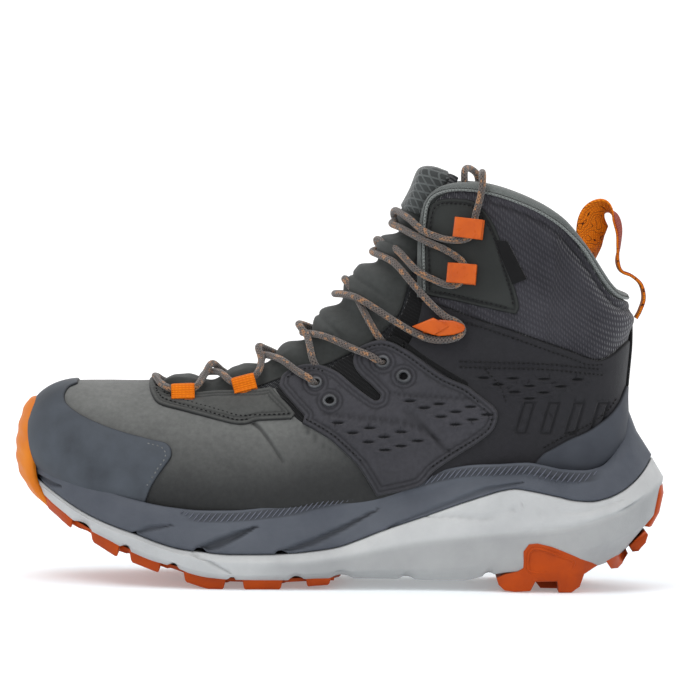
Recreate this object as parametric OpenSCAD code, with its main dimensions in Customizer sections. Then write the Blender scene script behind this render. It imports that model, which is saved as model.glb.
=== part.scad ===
// Mid-height hiking boot, left foot.
// Frame: +Z up, ground at z = 0, toe towards -X, heel towards +X, outer side of the foot towards -Y.
// All sizes in millimetres.

/* [Upper] */
// thickness of the nubuck and textile layer that makes the body of the upper
upper_t = 1.6; // [1.2:0.1:2.4]
// thickness of the parts that lie on that layer: toe cap, saddle, heel panel, facings
overlay_t = 1.2; // [0.8:0.1:2.0]
// thickness of the stiffeners inside the toe and the heel
stiffener_t = 1.0; // [0.6:0.1:2.0]
// thickness of the waterproof sock with its textile lining
lining_t = 1.2; // [0.8:0.1:2.0]
// thickness of the foam inside the collar
collar_foam_t = 5.0; // [3:0.5:8]
// width of the rolled binding round the collar
binding_w = 4; // [3:0.5:7]

/* [Tongue and footbed] */
// thickness of the padded tongue blade
tongue_t = 3.0; // [2:0.5:6]
// height of the padded centre of the tongue above the skin line of the upper
tongue_rise = -1.8; // [-4:0.2:0]
// thickness of the removable footbed at the ball of the foot
footbed_t = 5; // [3:0.5:8]
// gap between the footbed and the lining around it
footbed_gap = 0.5; // [0.3:0.1:1.5]

/* [Sole] */
// how far the dark midsole wall stands in from the widest line of the sole at its top edge
wall_inset = 5; // [3:0.5:7]
// thickness of the rubber web that joins the forefoot lugs
web_t = 2; // [1.5:0.5:3]
// depth of the row of lugs along each edge
edge_lug = 15; // [10:1:20]

/* [Lacing] */
// diameter of the round lace
lace_d = 4; // [3:0.2:5]
// thickness of the hook plates
hook_t = 1.6; // [1.2:0.1:2.5]
// width of the webbing of the heel loop
loop_w = 17; // [12:1:22]

/* [Detail] */
// rows of facets along the upper
rows = 30; // [24:2:60]
// columns of facets round the upper
cols = 26; // [20:2:48]

/* [Hidden] */

far = 400;
// film of cement between the lining and the outer layer where nothing lies between them
glue_t = 0.15;

// ---- curves ----
function knot(p, i) =
  i < 0 ? 2 * p[0] - p[1] :
  i > len(p) - 1 ? 2 * p[len(p) - 1] - p[len(p) - 2] : p[i];

function blend(a, b, c, d, f) =
  0.5 * (2 * b + (c - a) * f + (2 * a - 5 * b + 4 * c - d) * f * f
  + (3 * b - a - 3 * c + d) * f * f * f);

function spline(p, t) =
  let (i = max(0, min(len(p) - 2, floor(t))))
  blend(knot(p, i - 1), p[i], knot(p, i + 1), knot(p, i + 2), t - i);

function ease(t) = let (s = max(0, min(1, t))) s * s * (3 - 2 * s);
function unit(v) = v / max(norm(v), 0.000001);

// ---- the upper: a fan of sections from the toe, over the instep, to the collar ----
// each row: front x and z, back x and z, half width, where it is widest,
// roundness of the front and of the back, sideways offset, how far the section arches
stations = [
  [-151, 69, -151, 69, 0, 0.55, 2, 2.2, 5, 0],
  [-150, 80, -149, 58, 17, 0.55, 2.1, 2.4, 5, 0],
  [-144, 89, -143, 50, 28, 0.57, 2.2, 2.8, 5, 0],
  [-132, 94.5, -131, 43, 37, 0.62, 2.2, 3.5, 4, 0],
  [-114, 95.5, -114, 35, 45, 0.65, 2.1, 4, 3, 0],
  [-94, 96, -92, 29, 49.5, 0.66, 1.9, 4, 2, 0],
  [-73, 97.5, -64, 25.5, 50.5, 0.66, 1.65, 4, 0, 0],
  [-52, 101, -32, 25.5, 48, 0.66, 1.55, 4, -2, 0],
  [-33, 109.5, 6, 29, 43, 0.63, 1.55, 4, -2, 0],
  [-17, 120, 50, 37, 39.5, 0.61, 1.6, 3.8, -1, 0],
  [-5, 133.5, 95, 41, 36.5, 0.6, 1.75, 3.2, 0, 2],
  [6, 146, 127, 46, 35, 0.6, 1.9, 2.7, 0, 5],
  [15, 157, 138, 68, 34.5, 0.6, 2, 2.4, 0, 9],
  [23, 168, 138, 95, 34, 0.6, 2, 2.3, 0, 12],
  [30, 179.5, 139.5, 120, 34.5, 0.59, 2, 2.2, 0, 14],
  [35, 189, 138, 138, 35, 0.58, 2, 2.2, 0, 16],
  [38, 197, 132, 148, 34.5, 0.58, 2, 2.2, 0, 17],
  [42, 206, 128, 158, 34, 0.58, 2, 2.2, 0, 18]
];

// half angle of the throat that the tongue fills, by station
throat = [0, 0, 0, 0, 0, 4, 25, 25, 28, 36, 43, 42, 36, 30, 24, 20, 18, 16];

function share(w, p) =
  let (c = max(abs(cos(p)), 0.00001))
  cos(p) >= 0 ? w[5] * (1 - pow(c, 2 / w[6])) : w[5] + (1 - w[5]) * pow(c, 2 / w[7]);

function skin(w, p) =
  let (
    a = share(w, p),
    d = [w[2] - w[0], w[3] - w[1]],
    q = [w[0], w[1]] + a * d + unit([-d[1], d[0]]) * w[9] * 4 * a * (1 - a),
    s = sin(p),
    y = w[4] * pow(max(abs(s), 0.00001), 2 / (cos(p) >= 0 ? w[6] : w[7]))
  )
  [q[0], w[8] - sign(s) * y, q[1]];

u_first = 0.3;
u_last = len(stations) - 1;
function row_u(i) = u_first + (u_last - u_first) * i / rows;
function col_p(j) = 360 * j / cols;
function wrapped(j) = (j + cols) % cols;

function base_grid() = [
  for (i = [0:rows]) let (w = spline(stations, row_u(i))) [for (j = [0:cols - 1]) skin(w, col_p(j))]
];

function normals(g) = [
  for (i = [0:rows]) [
    for (j = [0:cols - 1])
      let (
        along = g[min(rows, i + 1)][j] - g[max(0, i - 1)][j],
        round_it = g[i][wrapped(j + 1)] - g[i][wrapped(j - 1)]
      )
      unit(cross(round_it, along))
  ]
];

// height of the seam where the padded collar begins, along the boot
collar_seam = [
  [20, 128], [34, 136], [40, 138], [55, 133], [65, 129.5], [80, 125], [95, 120], [110, 115],
  [118, 112], [124, 111], [130, 113.5], [136, 118], [141, 121]
];

// room between the outer layer and the lining: stiffeners in toe and heel, foam in the collar
function room(p) =
  let (
    over = p[2] - lookup(p[0], collar_seam),
    foam = (collar_foam_t - stiffener_t) * ease((over - 1) / 12) * ease((p[0] - 28) / 14),
    toe = ease((-110 - p[0]) / 6) * ease((p[2] - 58) / 6),
    heel = ease((p[0] - 76) / 6)
  )
  max(glue_t, foam + stiffener_t * max(toe, heel, ease((over - 1) / 3) * ease((p[0] - 28) / 4)));

// levels of the layers, outside to inside
function depth(level, p) =
  level == 0 ? overlay_t :
  level == 1 ? 0 :
  level == 2 ? -upper_t :
  level == 3 ? -upper_t - room(p) :
  level == 4 ? -upper_t - room(p) - lining_t :
  level == 5 ? -upper_t - room(p) - lining_t - footbed_gap :
  -upper_t - room(p) - lining_t - 1;

function level_grid(g, n, level) = [
  for (i = [0:rows]) [for (j = [0:cols - 1]) g[i][j] + n[i][j] * depth(level, g[i][j])]
];

function flat(g) = [for (r = g) for (p = r) p];
function mean(r) = [for (k = [0:2]) let (s = [for (p = r) p[k]]) sum(s) / len(r)];
function sum(v, i = 0) = i >= len(v) ? 0 : v[i] + sum(v, i + 1);

// wall of quads between two rows of a grid, outward or inward
function wall(first, out) = [
  for (i = [0:rows - 1]) for (j = [0:cols - 1])
    let (
      a = first + i * cols + j,
      b = first + i * cols + wrapped(j + 1),
      c = first + (i + 1) * cols + wrapped(j + 1),
      d = first + (i + 1) * cols + j
    )
    each (out ? [[a, d, b], [b, d, c]] : [[a, b, d], [b, c, d]])
];

// a layer of the upper between two levels, closed at the toe and open at the collar
module layer(outer, inner) {
  g = base_grid();
  n = normals(g);
  a = level_grid(g, n, outer);
  b = level_grid(g, n, inner);
  k = (rows + 1) * cols;
  points = concat(flat(a), flat(b), [mean(a[0]), mean(b[0])]);
  faces = concat(
    wall(0, true),
    wall(k, false),
    [for (j = [0:cols - 1]) [2 * k, j, wrapped(j + 1)]],
    [for (j = [0:cols - 1]) [2 * k + 1, k + wrapped(j + 1), k + j]],
    [for (j = [0:cols - 1]) let (t = rows * cols)
      each [[t + j, k + t + j, t + wrapped(j + 1)], [t + wrapped(j + 1), k + t + j, k + t + wrapped(j + 1)]]]
  );
  polyhedron(points, faces, convexity = 10);
}

// everything inside one level, as a closed solid
module inside(level) {
  g = base_grid();
  a = level_grid(g, normals(g), level);
  k = (rows + 1) * cols;
  points = concat(flat(a), [mean(a[0]), mean(a[rows])]);
  faces = concat(
    wall(0, true),
    [for (j = [0:cols - 1]) [k, j, wrapped(j + 1)]],
    [for (j = [0:cols - 1]) [k + 1, rows * cols + wrapped(j + 1), rows * cols + j]]
  );
  polyhedron(points, faces, convexity = 10);
}

// a side view outline pushed across the boot: side -1 outer half, 1 inner half, 0 both
module across(outline, side = 0) {
  w = side == 0 ? 2 * far : far;
  translate([0, side < 0 ? 0 : side > 0 ? far : far, 0])
    rotate([90, 0, 0])
      linear_extrude(w)
        polygon(outline);
}

// ---- outlines of the panels seen from the side, x and z ----
// line where the dark midsole wall ends against the upper
wall_top = [
  [-149.5, 62], [-145, 59], [-137, 55.5], [-125, 50.5], [-110, 45], [-95, 41], [-80, 38.5],
  [-65, 37.3], [-50, 37.5], [-35, 39], [-20, 41], [-10, 43.5], [0, 45.5], [20, 50], [40, 55],
  [55, 59], [65, 60.5], [75, 61], [90, 62], [97, 61], [107, 59], [117, 58.5], [125, 60],
  [131, 65], [134, 71], [136.5, 80], [138, 92]
];
// edge of the upper along the throat and over the instep
throat_line = [
  [-91, 110], [-91, 96], [-89, 93.5], [-82, 91], [-70, 91], [-60, 92], [-53, 92.5], [-40, 93.5],
  [-31, 95], [-24, 94], [-10, 95], [2, 98], [12, 102.5], [22, 106], [29, 113], [34, 121], [37, 130],
  [38, 136]
];
front_of_heel = [[4, 99], [14, 86], [24, 70], [34, 52], [44, 20]];
vamp_outline = concat(
  [for (p = throat_line) if (p[0] < 3) p], front_of_heel, [[-200, 20], [-200, 110]]);
collar_line = concat([[37.8, 137]], [for (p = collar_seam) if (p[0] > 38) p], [[150, 126]]);
rear_outline = concat(
  [for (p = throat_line) if (p[0] > 3) p], collar_line, [[150, 20]],
  [for (i = [len(front_of_heel) - 1:-1:1]) front_of_heel[i]]);
collar_top = [
  [35.5, 138], [35, 150], [35, 166], [36, 178], [38, 186], [42, 191.5], [48, 194.5], [55, 195.5],
  [65, 195], [75, 193], [84, 190], [93, 186.5], [101, 182], [108, 177], [115, 169], [122, 159],
  [128, 150], [131, 146], [136, 143.5], [150, 140]
];
collar_inner = [
  [39.5, 138], [39, 150], [39, 166], [40, 176], [42, 184], [46, 188.5], [52, 191], [60, 191.3],
  [70, 190], [80, 187.5], [90, 183.5], [98, 179.5], [105, 174], [112, 166], [119, 156],
  [125, 146.5], [129, 142.5], [135, 139.5], [150, 136]
];
collar_outline = concat(collar_inner, [for (i = [len(collar_line) - 1:-1:0]) collar_line[i]]);

// the collar dips at the middle of its back: everything above a shallow saddle is cut away
module back_dip(lower) {
  translate([104, 0, 0])
    rotate([90, 0, 90])
      linear_extrude(60)
        polygon(concat(
          [for (y = [-28:4:28]) [y, 146 - lower + 13 * pow(y / 20, 2)]],
          [[28, 260], [-28, 260]]
        ));
}

module inside_binding(outline) {
  difference() {
    across(outline);
    back_dip(binding_w);
  }
}
toe_cap_outline = [
  [-200, 110], [-127, 110], [-127, 94], [-131, 92], [-132.5, 88.5], [-131, 85], [-124, 80.5],
  [-113, 76], [-103, 73], [-90, 70], [-83, 68.5], [-80, 66], [-80, 62], [-84, 56], [-89, 48],
  [-91.5, 40.4], [-95, 41.3], [-110, 45.3], [-125, 50.8], [-137, 55.8], [-145, 59.3],
  [-152, 62.5], [-200, 70]
];
eyestay_outline = [
  [-91, 110], [-92.5, 96], [-91, 90.5], [-87, 86], [-75, 83], [-60, 79.5], [-45, 76.5],
  [-40, 79], [-24, 80.5], [-21.5, 82.5], [-25, 87], [-30, 91.5], [-33, 94.8], [-40, 93.5],
  [-53, 92.5], [-60, 92], [-70, 91], [-82, 91], [-89, 93.5], [-91, 96]
];
saddle_outline = [
  [-30, 92], [-29.5, 98], [-28, 100], [-24, 103], [-18, 105.5], [-12, 106], [-7, 104.5], [-3, 101.5],
  [0, 97], [8, 90], [14, 85], [16, 86.5], [15, 91], [6, 102], [4, 108], [6, 112.5], [12, 117],
  [18, 118.5], [23, 118], [28, 116], [35, 112], [42, 107], [50, 102], [60, 98], [65, 94.5],
  [70, 89.5], [73, 86.5], [75, 84], [74, 79], [72, 75], [65, 70], [55, 64], [45, 57],
  [40, 55.5], [20, 50.5], [12, 57], [0, 67.5], [-5, 71.5], [-12, 75.5], [-19, 79.5], [-16, 82]
];
foxing_outline = [
  [92, 62.4], [97, 66], [102, 69], [110, 73.5], [118, 77], [124, 81], [129, 85], [133, 90],
  [135.5, 95], [137, 97], [150, 97], [150, 94], [138, 92.6], [136, 80.5], [133.5, 71.5],
  [130.5, 65.5], [125, 60.5], [117, 59], [107, 59.5], [97, 61.5]
];
backstay_outline = [
  [130, 97.3], [131.5, 104], [134, 112], [136.5, 121], [137, 129], [150, 129], [150, 97.3]
];
facing_outline = [
  [39.6, 140], [39.4, 166], [40.4, 176], [42.4, 183.6], [47, 186.5], [55, 187], [62, 186],
  [68, 181], [72, 175], [75, 168], [79, 155], [83, 143], [84.5, 136], [83, 132.5], [75, 134],
  [60, 137], [50, 139]
];
label_outline = [[77.5, 166.5], [81.5, 165], [90, 147.5], [84.8, 146]];

// ---- the sole ----
// outline of the sole from above: x, outer y, inner y
sole_plan = [
  [-156, 3, 7], [-153.5, -9, 18], [-147, -21, 29], [-135, -34, 39], [-118, -46, 48],
  [-98, -54.5, 54.5], [-74, -58.5, 58.5], [-48, -57.5, 56], [-22, -53, 50.5], [4, -47.5, 44.5],
  [30, -43.5, 41], [56, -42.5, 40.5], [82, -43.5, 41.5], [106, -44.5, 43], [126, -42, 41],
  [141, -34.5, 34], [151, -23, 23], [156, -9.5, 10], [157, -1, 1]
];
plan_steps = 2 * (len(sole_plan) - 1);

seam_z = [
  [-149, 50.5], [-146, 48.5], [-142, 46], [-137, 43], [-125, 36], [-115, 31.5], [-105, 28],
  [-95, 25], [-85, 21.5], [-75, 19], [-65, 17.8], [-50, 16.8], [-30, 17], [-10, 18.8],
  [0, 20.5], [10, 24], [20, 28], [40, 35], [60, 42.5], [70, 46], [78, 48.5], [84, 49.5],
  [92, 48.5], [105, 46], [112, 44.5], [120, 44], [128, 45.5], [135, 48.5], [142, 53.5],
  [148, 60], [150.5, 63.5]
];
base_z = [
  [-147, 46], [-143, 41], [-138, 37], [-131, 32.5], [-125, 29], [-117, 25], [-110, 22],
  [-102, 18.5], [-95, 15.5], [-88, 13], [-82, 11.5], [-75, 9.5], [-70, 7.5], [-60, 5.5],
  [-50, 4.8], [-35, 4.6], [-25, 4.6], [-10, 5.4], [5, 5.6], [25, 5.5], [45, 5.2], [60, 5.4],
  [72, 8], [85, 10], [100, 10.5], [115, 11.5], [125, 13], [130, 14.5], [138, 18]
];
// lowest line of the rubber: it touches the ground under the ball and the heel
tread_z = [
  [-147, 40], [-141, 35], [-135, 31], [-130, 27], [-113, 18], [-107, 14.5], [-96, 11], [-86, 7.5],
  [-70, 2.6], [-62, 0], [-24, 0], [-12, 1.6], [0, 2.4]
];

function ring_x(lo, hi, x) = lo + (hi - lo) * (x + 156) / 313;

// one closed ring of the sole: x limits, inset, rows of x and z
function ring(lo, hi, inset, line, drop = 0) =
  let (half = [for (k = [0:plan_steps]) spline(sole_plan, k / 2)], s = 1 - inset / 52)
  concat(
    [for (k = [0:plan_steps]) let (h = half[k], x = ring_x(lo, hi, h[0])) [x, h[1] * s, lookup(x, line) + drop]],
    [for (k = [plan_steps:-1:0]) let (h = half[k], x = ring_x(lo, hi, h[0])) [x, h[2] * s, lookup(x, line) + drop]]
  );

// rings stacked from the top down, closed by ruled caps
module stack(rings) {
  m = len(rings[0]);
  last = len(rings) - 1;
  walls = [
    for (r = [0:last - 1]) for (k = [0:m - 1])
      let (a = r * m + k, b = r * m + (k + 1) % m, c = (r + 1) * m + (k + 1) % m, d = (r + 1) * m + k)
      each [[a, b, c], [a, c, d]]
  ];
  caps = [
    for (k = [0:plan_steps - 1])
      let (a = k, b = k + 1, c = m - 2 - k, d = m - 1 - k, z = last * m)
      each [[a, c, b], [a, d, c], [z + a, z + b, z + c], [z + a, z + c, z + d]]
  ];
  polyhedron(flat(rings), concat(walls, caps), convexity = 6);
}

ring_top = ring(-149.6, 138, wall_inset, wall_top);
flank_z = [
  [-150.5, 56], [-137, 49], [-110, 38.5], [-80, 30], [-50, 27.5], [-20, 30], [0, 34], [20, 40],
  [40, 46], [60, 52], [80, 56], [97, 56], [117, 53], [128, 56], [134, 61], [140, 70], [143.5, 76]
];
ring_flank = ring(-150.6, 143.5, wall_inset - 2, flank_z);
ring_seam = ring(-149.6, 151, 1.6, seam_z);
bulge_z = [
  [-149.4, 49], [-137, 41], [-125, 34], [-110, 27], [-95, 22.5], [-80, 18], [-65, 14.5], [-50, 13],
  [-20, 13.5], [0, 16], [20, 22], [40, 27], [60, 32], [80, 36], [100, 37], [120, 39], [135, 43],
  [148, 50], [157, 55]
];
ring_bulge = ring(-149.4, 157, 0, bulge_z);
lower_z = [
  [-148, 47.5], [-137, 39], [-125, 31.5], [-110, 24.5], [-95, 18], [-80, 13.5], [-65, 9], [-50, 7.5],
  [-20, 7.8], [0, 9], [20, 10], [60, 12], [80, 17], [100, 19], [120, 22], [135, 27], [148, 33],
  [154, 37]
];
ring_lower = ring(-148.4, 154, 0.6, lower_z);
ring_base = ring(-146.8, 139, 4, base_z);

// bands that follow the underside of the midsole, in step with its facets
under_x = [for (k = [0:plan_steps]) ring_x(-146.8, 139, spline(sole_plan, k / 2)[0])];
function under_band(lo, hi, low) =
  let (xs = [for (x = under_x) if (x >= lo && x <= hi) x])
  concat(
    [for (x = xs) [x, lookup(x, base_z)]],
    [for (i = [len(xs) - 1:-1:0]) [xs[i], low == 0 ? lookup(xs[i], tread_z) : lookup(xs[i], base_z) - low]]
  );

// ---- sole modules ----
module midsole_upper() {
  color([0.33, 0.34, 0.4])
    resize([0, 0, 0])
      difference() {
        stack([ring_top, ring_flank, ring_seam]);
        inside(1);
      }
}

module midsole_lower() {
  color([0.74, 0.76, 0.76])
    resize([0, 0, 0])
      difference() {
        stack([ring_seam, ring_bulge, ring_lower, ring_base]);
        inside(1);
        // shallow cuts between the lug rows
        for (x = [-122, 2, 33])
          translate([x, 0, lookup(x, base_z) - 2])
            rotate([90, 45, 0])
              cube([6, 6, 2 * far], center = true);
      }
}

// lugs of the forefoot from above: edge lugs on both sides and chevrons between them
edge_lugs = [[-141.5, -127], [-118, -104], [-99, -84], [-73, -53], [-45, -26], [-15, -3]];
chevrons = [[-134, 12], [-111, 16], [-91, 18], [-62, 19], [-35, 17], [-12, 15]];

module chevron(x, w) {
  for (s = [-1, 1])
    polygon([[x - 1, s * 1.5], [x + 8, s * 1.5], [x + 3, s * w], [x - 6, s * w]]);
}

module forefoot_plan(inset) {
  s = 1 - inset / 52;
  pts = [for (k = [0:plan_steps]) spline(sole_plan, k / 2)];
  polygon(concat(
    [for (h = pts) [ring_x(-146.8, 139, h[0]), h[1] * s]],
    [for (i = [len(pts) - 1:-1:0]) [ring_x(-146.8, 139, pts[i][0]), pts[i][2] * s]]
  ));
}

module outsole_forefoot() {
  color([0.8, 0.32, 0.1])
    union() {
      intersection() {
        translate([0, 0, -10]) linear_extrude(80) difference() {
          intersection() {
            forefoot_plan(9);
            translate([-141.5, -60]) square([141, 120]);
          }
          // windows where the foam of the midsole shows
          for (p = chevrons) translate([p[0] + 14, 0]) circle(4, $fn = 6);
        }
        across(under_band(-146, 0, web_t));
      }
      intersection() {
        translate([0, 0, -10]) linear_extrude(80) {
          difference() {
            intersection() {
              forefoot_plan(4.5);
              for (e = edge_lugs) translate([e[0], -80]) square([e[1] - e[0], 160]);
            }
            forefoot_plan(4.5 + edge_lug);
          }
          for (p = chevrons) chevron(p[0] + 7, p[1]);
        }
        across(under_band(-146, 0, 0));
      }
    }
}

// lugs of the heel from the side, with how far in they reach
heel_pod = [
  [76, 7], [80, 9], [86, 10.5], [88.5, 12], [88.5, 20], [91, 23.5], [95, 24], [102, 22.5],
  [115, 17.5], [122, 14.5], [124.5, 13], [122, 11.5], [118, 9], [116, 3], [112, 0], [105.5, 0],
  [105, 6], [94.5, 6], [92, 0], [82, 0], [77, 3.5]
];
heel_lug_a = [[129, 16], [138, 20], [138, 14], [136, 11.5], [132, 11]];
heel_lug_b = [[140, 21.5], [147, 28], [148.3, 24], [145, 20]];
heel_tab = [[149, 30.5], [152, 30.5], [155, 37], [157, 46], [156.4, 50], [152, 50], [150, 40]];

module heel_bars() {
  for (s = [-1, 1])
    translate([0, s > 0 ? 50 : -22, 0]) rotate([90, 0, 0]) linear_extrude(28) polygon(heel_pod);
  translate([0, 18, 0]) rotate([90, 0, 0]) linear_extrude(36)
    polygon([[82, 11], [110, 12], [110, 6], [106, 0], [98, 0], [94, 5], [88, 0], [82, 4]]);
  for (s = [-1, 1])
    translate([0, s > 0 ? 38 : -6, 0]) rotate([90, 0, 0]) linear_extrude(32) polygon(heel_lug_a);
  translate([0, 5, 0]) rotate([90, 0, 0]) linear_extrude(10) polygon(heel_lug_a);
  for (s = [-1, 1])
    translate([0, s > 0 ? 27 : -4, 0]) rotate([90, 0, 0]) linear_extrude(23) polygon(heel_lug_b);
  translate([0, 13, 0]) rotate([90, 0, 0]) linear_extrude(26) polygon(heel_tab);
  // web under the heel that carries the lugs
  translate([0, 30, 0]) rotate([90, 0, 0]) linear_extrude(60)
    polygon([[84, 12], [126, 15.5], [139, 20.5], [146, 27.5], [151, 34], [151.5, 31], [147, 24.5],
      [139, 15.5], [128, 11], [112, 8.5], [84, 8]]);
}

module outsole_heel() {
  color([0.8, 0.32, 0.1])
    resize([0, 0, 0])
      difference() {
        intersection() {
          heel_bars();
          stack([ring(-151, 158, -0.8, bulge_z, 10), ring(-151, 157.6, -0.8, bulge_z),
            ring(-150, 155, 0, lower_z), ring(-148, 148.5, 3, [[-150, 20], [0, -1], [120, -1], [132, 9], [148, 19]])]);
        }
        stack([ring_seam, ring_bulge, ring_lower, ring_base]);
      }
}

// rubber that wraps up over the toe: height and how far forward it stands
bumper_rows = [[86, -149.5], [82, -152], [76, -154.2], [67, -156], [58, -156], [51, -154.4], [44, -150.4], [36.5, -143]];
bumper_half = 26;
module toe_bumper() {
  m = 7;
  ys = [for (k = [0:m - 1]) 4 + bumper_half * (2 * k / (m - 1) - 1)];
  rim = concat(ys, [ys[m - 1], ys[0]]);
  pts = [
    for (r = bumper_rows) for (k = [0:m + 1])
      k < m ? [min(-142, r[1] + 9.5 * pow((ys[k] - 4) / bumper_half, 2)), ys[k], r[0] - 4 * pow((ys[k] - 4) / bumper_half, 2)]
      : [-141.5, rim[k], r[0] - 4]
  ];
  q = m + 2;
  last = len(bumper_rows) - 1;
  faces = concat(
    [for (i = [0:last - 1]) for (k = [0:q - 1])
      let (a = i * q + k, b = i * q + (k + 1) % q, c = (i + 1) * q + (k + 1) % q, d = (i + 1) * q + k)
      each [[a, c, b], [a, d, c]]],
    [[for (k = [0:q - 1]) k], [for (k = [q - 1:-1:0]) last * q + k]]
  );
  color([0.88, 0.5, 0.2])
    resize([0, 0, 0])
      difference() {
        polyhedron(pts, faces, convexity = 4);
        inside(0);
        stack([ring_top, ring_flank, ring_seam]);
        stack([ring_seam, ring_bulge, ring_lower, ring_base]);
        // top corners, where the band has run out against the toe cap
        translate([-144.4, -23, 79.2]) cube([4, 6.3, 5]);
        translate([-142.4, 29.6, 81.6]) cube([2, 2, 2]);
      }
}

// ---- layers of the upper ----
// sole of the upper: everything more than 9 mm in from its edge
module board_plan() {
  translate([0, 0, -20]) linear_extrude(82)
    polygon(concat(
      [for (u = [0.8:0.6:12]) let (w = spline(stations, u)) [w[2], w[8] - max(1, w[4] * 0.86 - 7)]],
      [[132, 0]],
      [for (u = [11.6:-0.6:0.8]) let (w = spline(stations, u)) [w[2], w[8] + max(1, w[4] * 0.86 - 7)]]
    ));
}

module strobel_board() {
  color([0.8, 0.78, 0.7])
    resize([0, 0, 0])
      intersection() {
        layer(1, 2);
        board_plan();
      }
}

module vamp() {
  color([0.4, 0.41, 0.4])
    resize([0, 0, 0])
      difference() {
        intersection() {
          layer(1, 2);
          across(vamp_outline);
        }
        board_plan();
      }
}

module rear_quarter(side) {
  color([0.27, 0.27, 0.29])
    resize([0, 0, 0])
      difference() {
        intersection() {
          layer(1, 2);
          across(rear_outline, side);
        }
        board_plan();
      }
}

module collar_textile() {
  color([0.28, 0.28, 0.3])
    resize([0, 0, 0])
      intersection() {
        layer(1, 2);
        inside_binding(collar_outline);
      }
}

module collar_foam() {
  color([0.2, 0.2, 0.2])
    resize([0, 0, 0])
      intersection() {
        layer(2, 3);
        inside_binding(concat([[39.5, 143]], [for (p = collar_inner) if (p[1] > 143 || p[0] > 60) p],
          [for (i = [len(collar_line) - 1:-1:2]) collar_line[i] + [0, 2.5]]));
      }
}

module collar_binding() {
  color([0.43, 0.45, 0.45])
    resize([0, 0, 0])
      difference() {
        intersection() {
          layer(0, 4);
          across(concat(collar_top, [[150, 100], [35.5, 100]]));
        }
        back_dip(0);
        inside_binding(concat(collar_inner, [[150, 90], [30, 90], [30, 138], [39.5, 138]]));
        // the binding is open in front, where the tongue passes
        translate([0, -11.5, 150]) cube([60, 23, 80]);
      }
}

module toe_puff() {
  color([0.6, 0.6, 0.55])
    resize([0, 0, 0])
      intersection() {
        layer(2, 3);
        across([[-200, 120], [-114, 120], [-114, 66], [-200, 66]]);
      }
}

module heel_counter() {
  color([0.6, 0.6, 0.55])
    resize([0, 0, 0])
      intersection() {
        layer(2, 3);
        across([[84, 20], [84, 84], [92, 98], [108, 107], [124, 108], [150, 110], [150, 20]]);
      }
}

module lining_sock() {
  color([0.16, 0.16, 0.17])
    resize([0, 0, 0])
      intersection() {
        layer(3, 4);
        inside_binding(concat(throat_line, collar_inner, [[150, 10], [-200, 10], [-200, 110]]));
      }
}

module toe_cap() {
  color([0.29, 0.31, 0.35])
    resize([0, 0, 0])
      intersection() {
        layer(0, 1);
        across(toe_cap_outline);
      }
}

module eyestay() {
  color([0.36, 0.37, 0.36])
    resize([0, 0, 0])
      intersection() {
        layer(0, 1);
        across(eyestay_outline);
      }
}

// eyelets of the outer side: place, turn about Z, tilt
eyelets = [
  [-12, -27.8, 97, -11, 34], [-5, -33.7, 89, -6, 28], [20, -28.6, 108, -9, 19.5], [30, -31.9, 101.5, -5, 16]
];
module at_eyelet(e, side) {
  mirror([0, side > 0 ? 1 : 0, 0])
    translate([e[0], e[1], e[2]])
      rotate([0, 0, e[3]])
        rotate([90 - e[4], 0, 0])
          children();
}

module saddle(side) {
  color([0.27, 0.265, 0.28])
    resize([0, 0, 0])
      difference() {
        intersection() {
          layer(0, 1);
          across(saddle_outline, side);
        }
        for (e = eyelets) at_eyelet(e, side) cylinder(r = 2.4, h = 12, center = true, $fn = 16);
      }
}

module eyelet_set(side) {
  color([0.25, 0.25, 0.25])
    for (e = eyelets)
      at_eyelet(e, side)
        rotate_extrude($fn = 24)
          polygon([[1.9, -0.3], [2.35, -0.3], [2.35, 1.35], [3.8, 1.35], [3.8, 1.75], [2.9, 2.1], [1.9, 1.7]]);
}

module heel_foxing() {
  color([0.29, 0.31, 0.35])
    resize([0, 0, 0])
      intersection() {
        layer(0, 1);
        across(foxing_outline);
      }
}

module backstay() {
  color([0.2, 0.2, 0.22])
    resize([0, 0, 0])
      intersection() {
        layer(0, 1);
        across(backstay_outline);
        translate([100, -7, 0]) cube([60, 14, 200]);
      }
}

module facing(side) {
  color([0.3, 0.3, 0.3])
    resize([0, 0, 0])
      intersection() {
        layer(0, 1);
        across(facing_outline, side);
      }
}

module side_label() {
  color([0.06, 0.06, 0.06])
    resize([0, 0, 0])
      intersection() {
        translate([0, -overlay_t, 0]) layer(0, 1);
        across(label_outline, -1);
      }
}

// ---- tongue ----
// the blade lies under the facings; its padded centre fills the throat
function blade_reach(u) = lookup(u, [[5, 22], [6, 40], [8, 45], [10, 50], [11, 48], [12, 42], [13, 37], [14, 33], [17, 30]]);
function throat_at(u) = let (i = floor(min(u, u_last - 0.001))) throat[i] + (throat[i + 1] - throat[i]) * (u - i);
tongue_rows = 20;
tongue_cols = 12;
tongue_first = 5.3;

function tongue_skin(u, p, level) =
  let (
    w = spline(stations, u),
    h = 0.02,
    q = skin(w, p),
    n = unit(cross(skin(w, p + 1) - skin(w, p - 1), skin(spline(stations, u + h), p) - skin(spline(stations, u - h), p))),
    under = -upper_t - room(q) - lining_t - 1.3,
    half = max(1, throat_at(u) - 3),
    bump = ease((half - abs(p)) / (0.7 * half))
  )
  q + n * (level == 0 ? under + (tongue_rise - under) * bump : level == 1 ? under : under - tongue_t);

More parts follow.
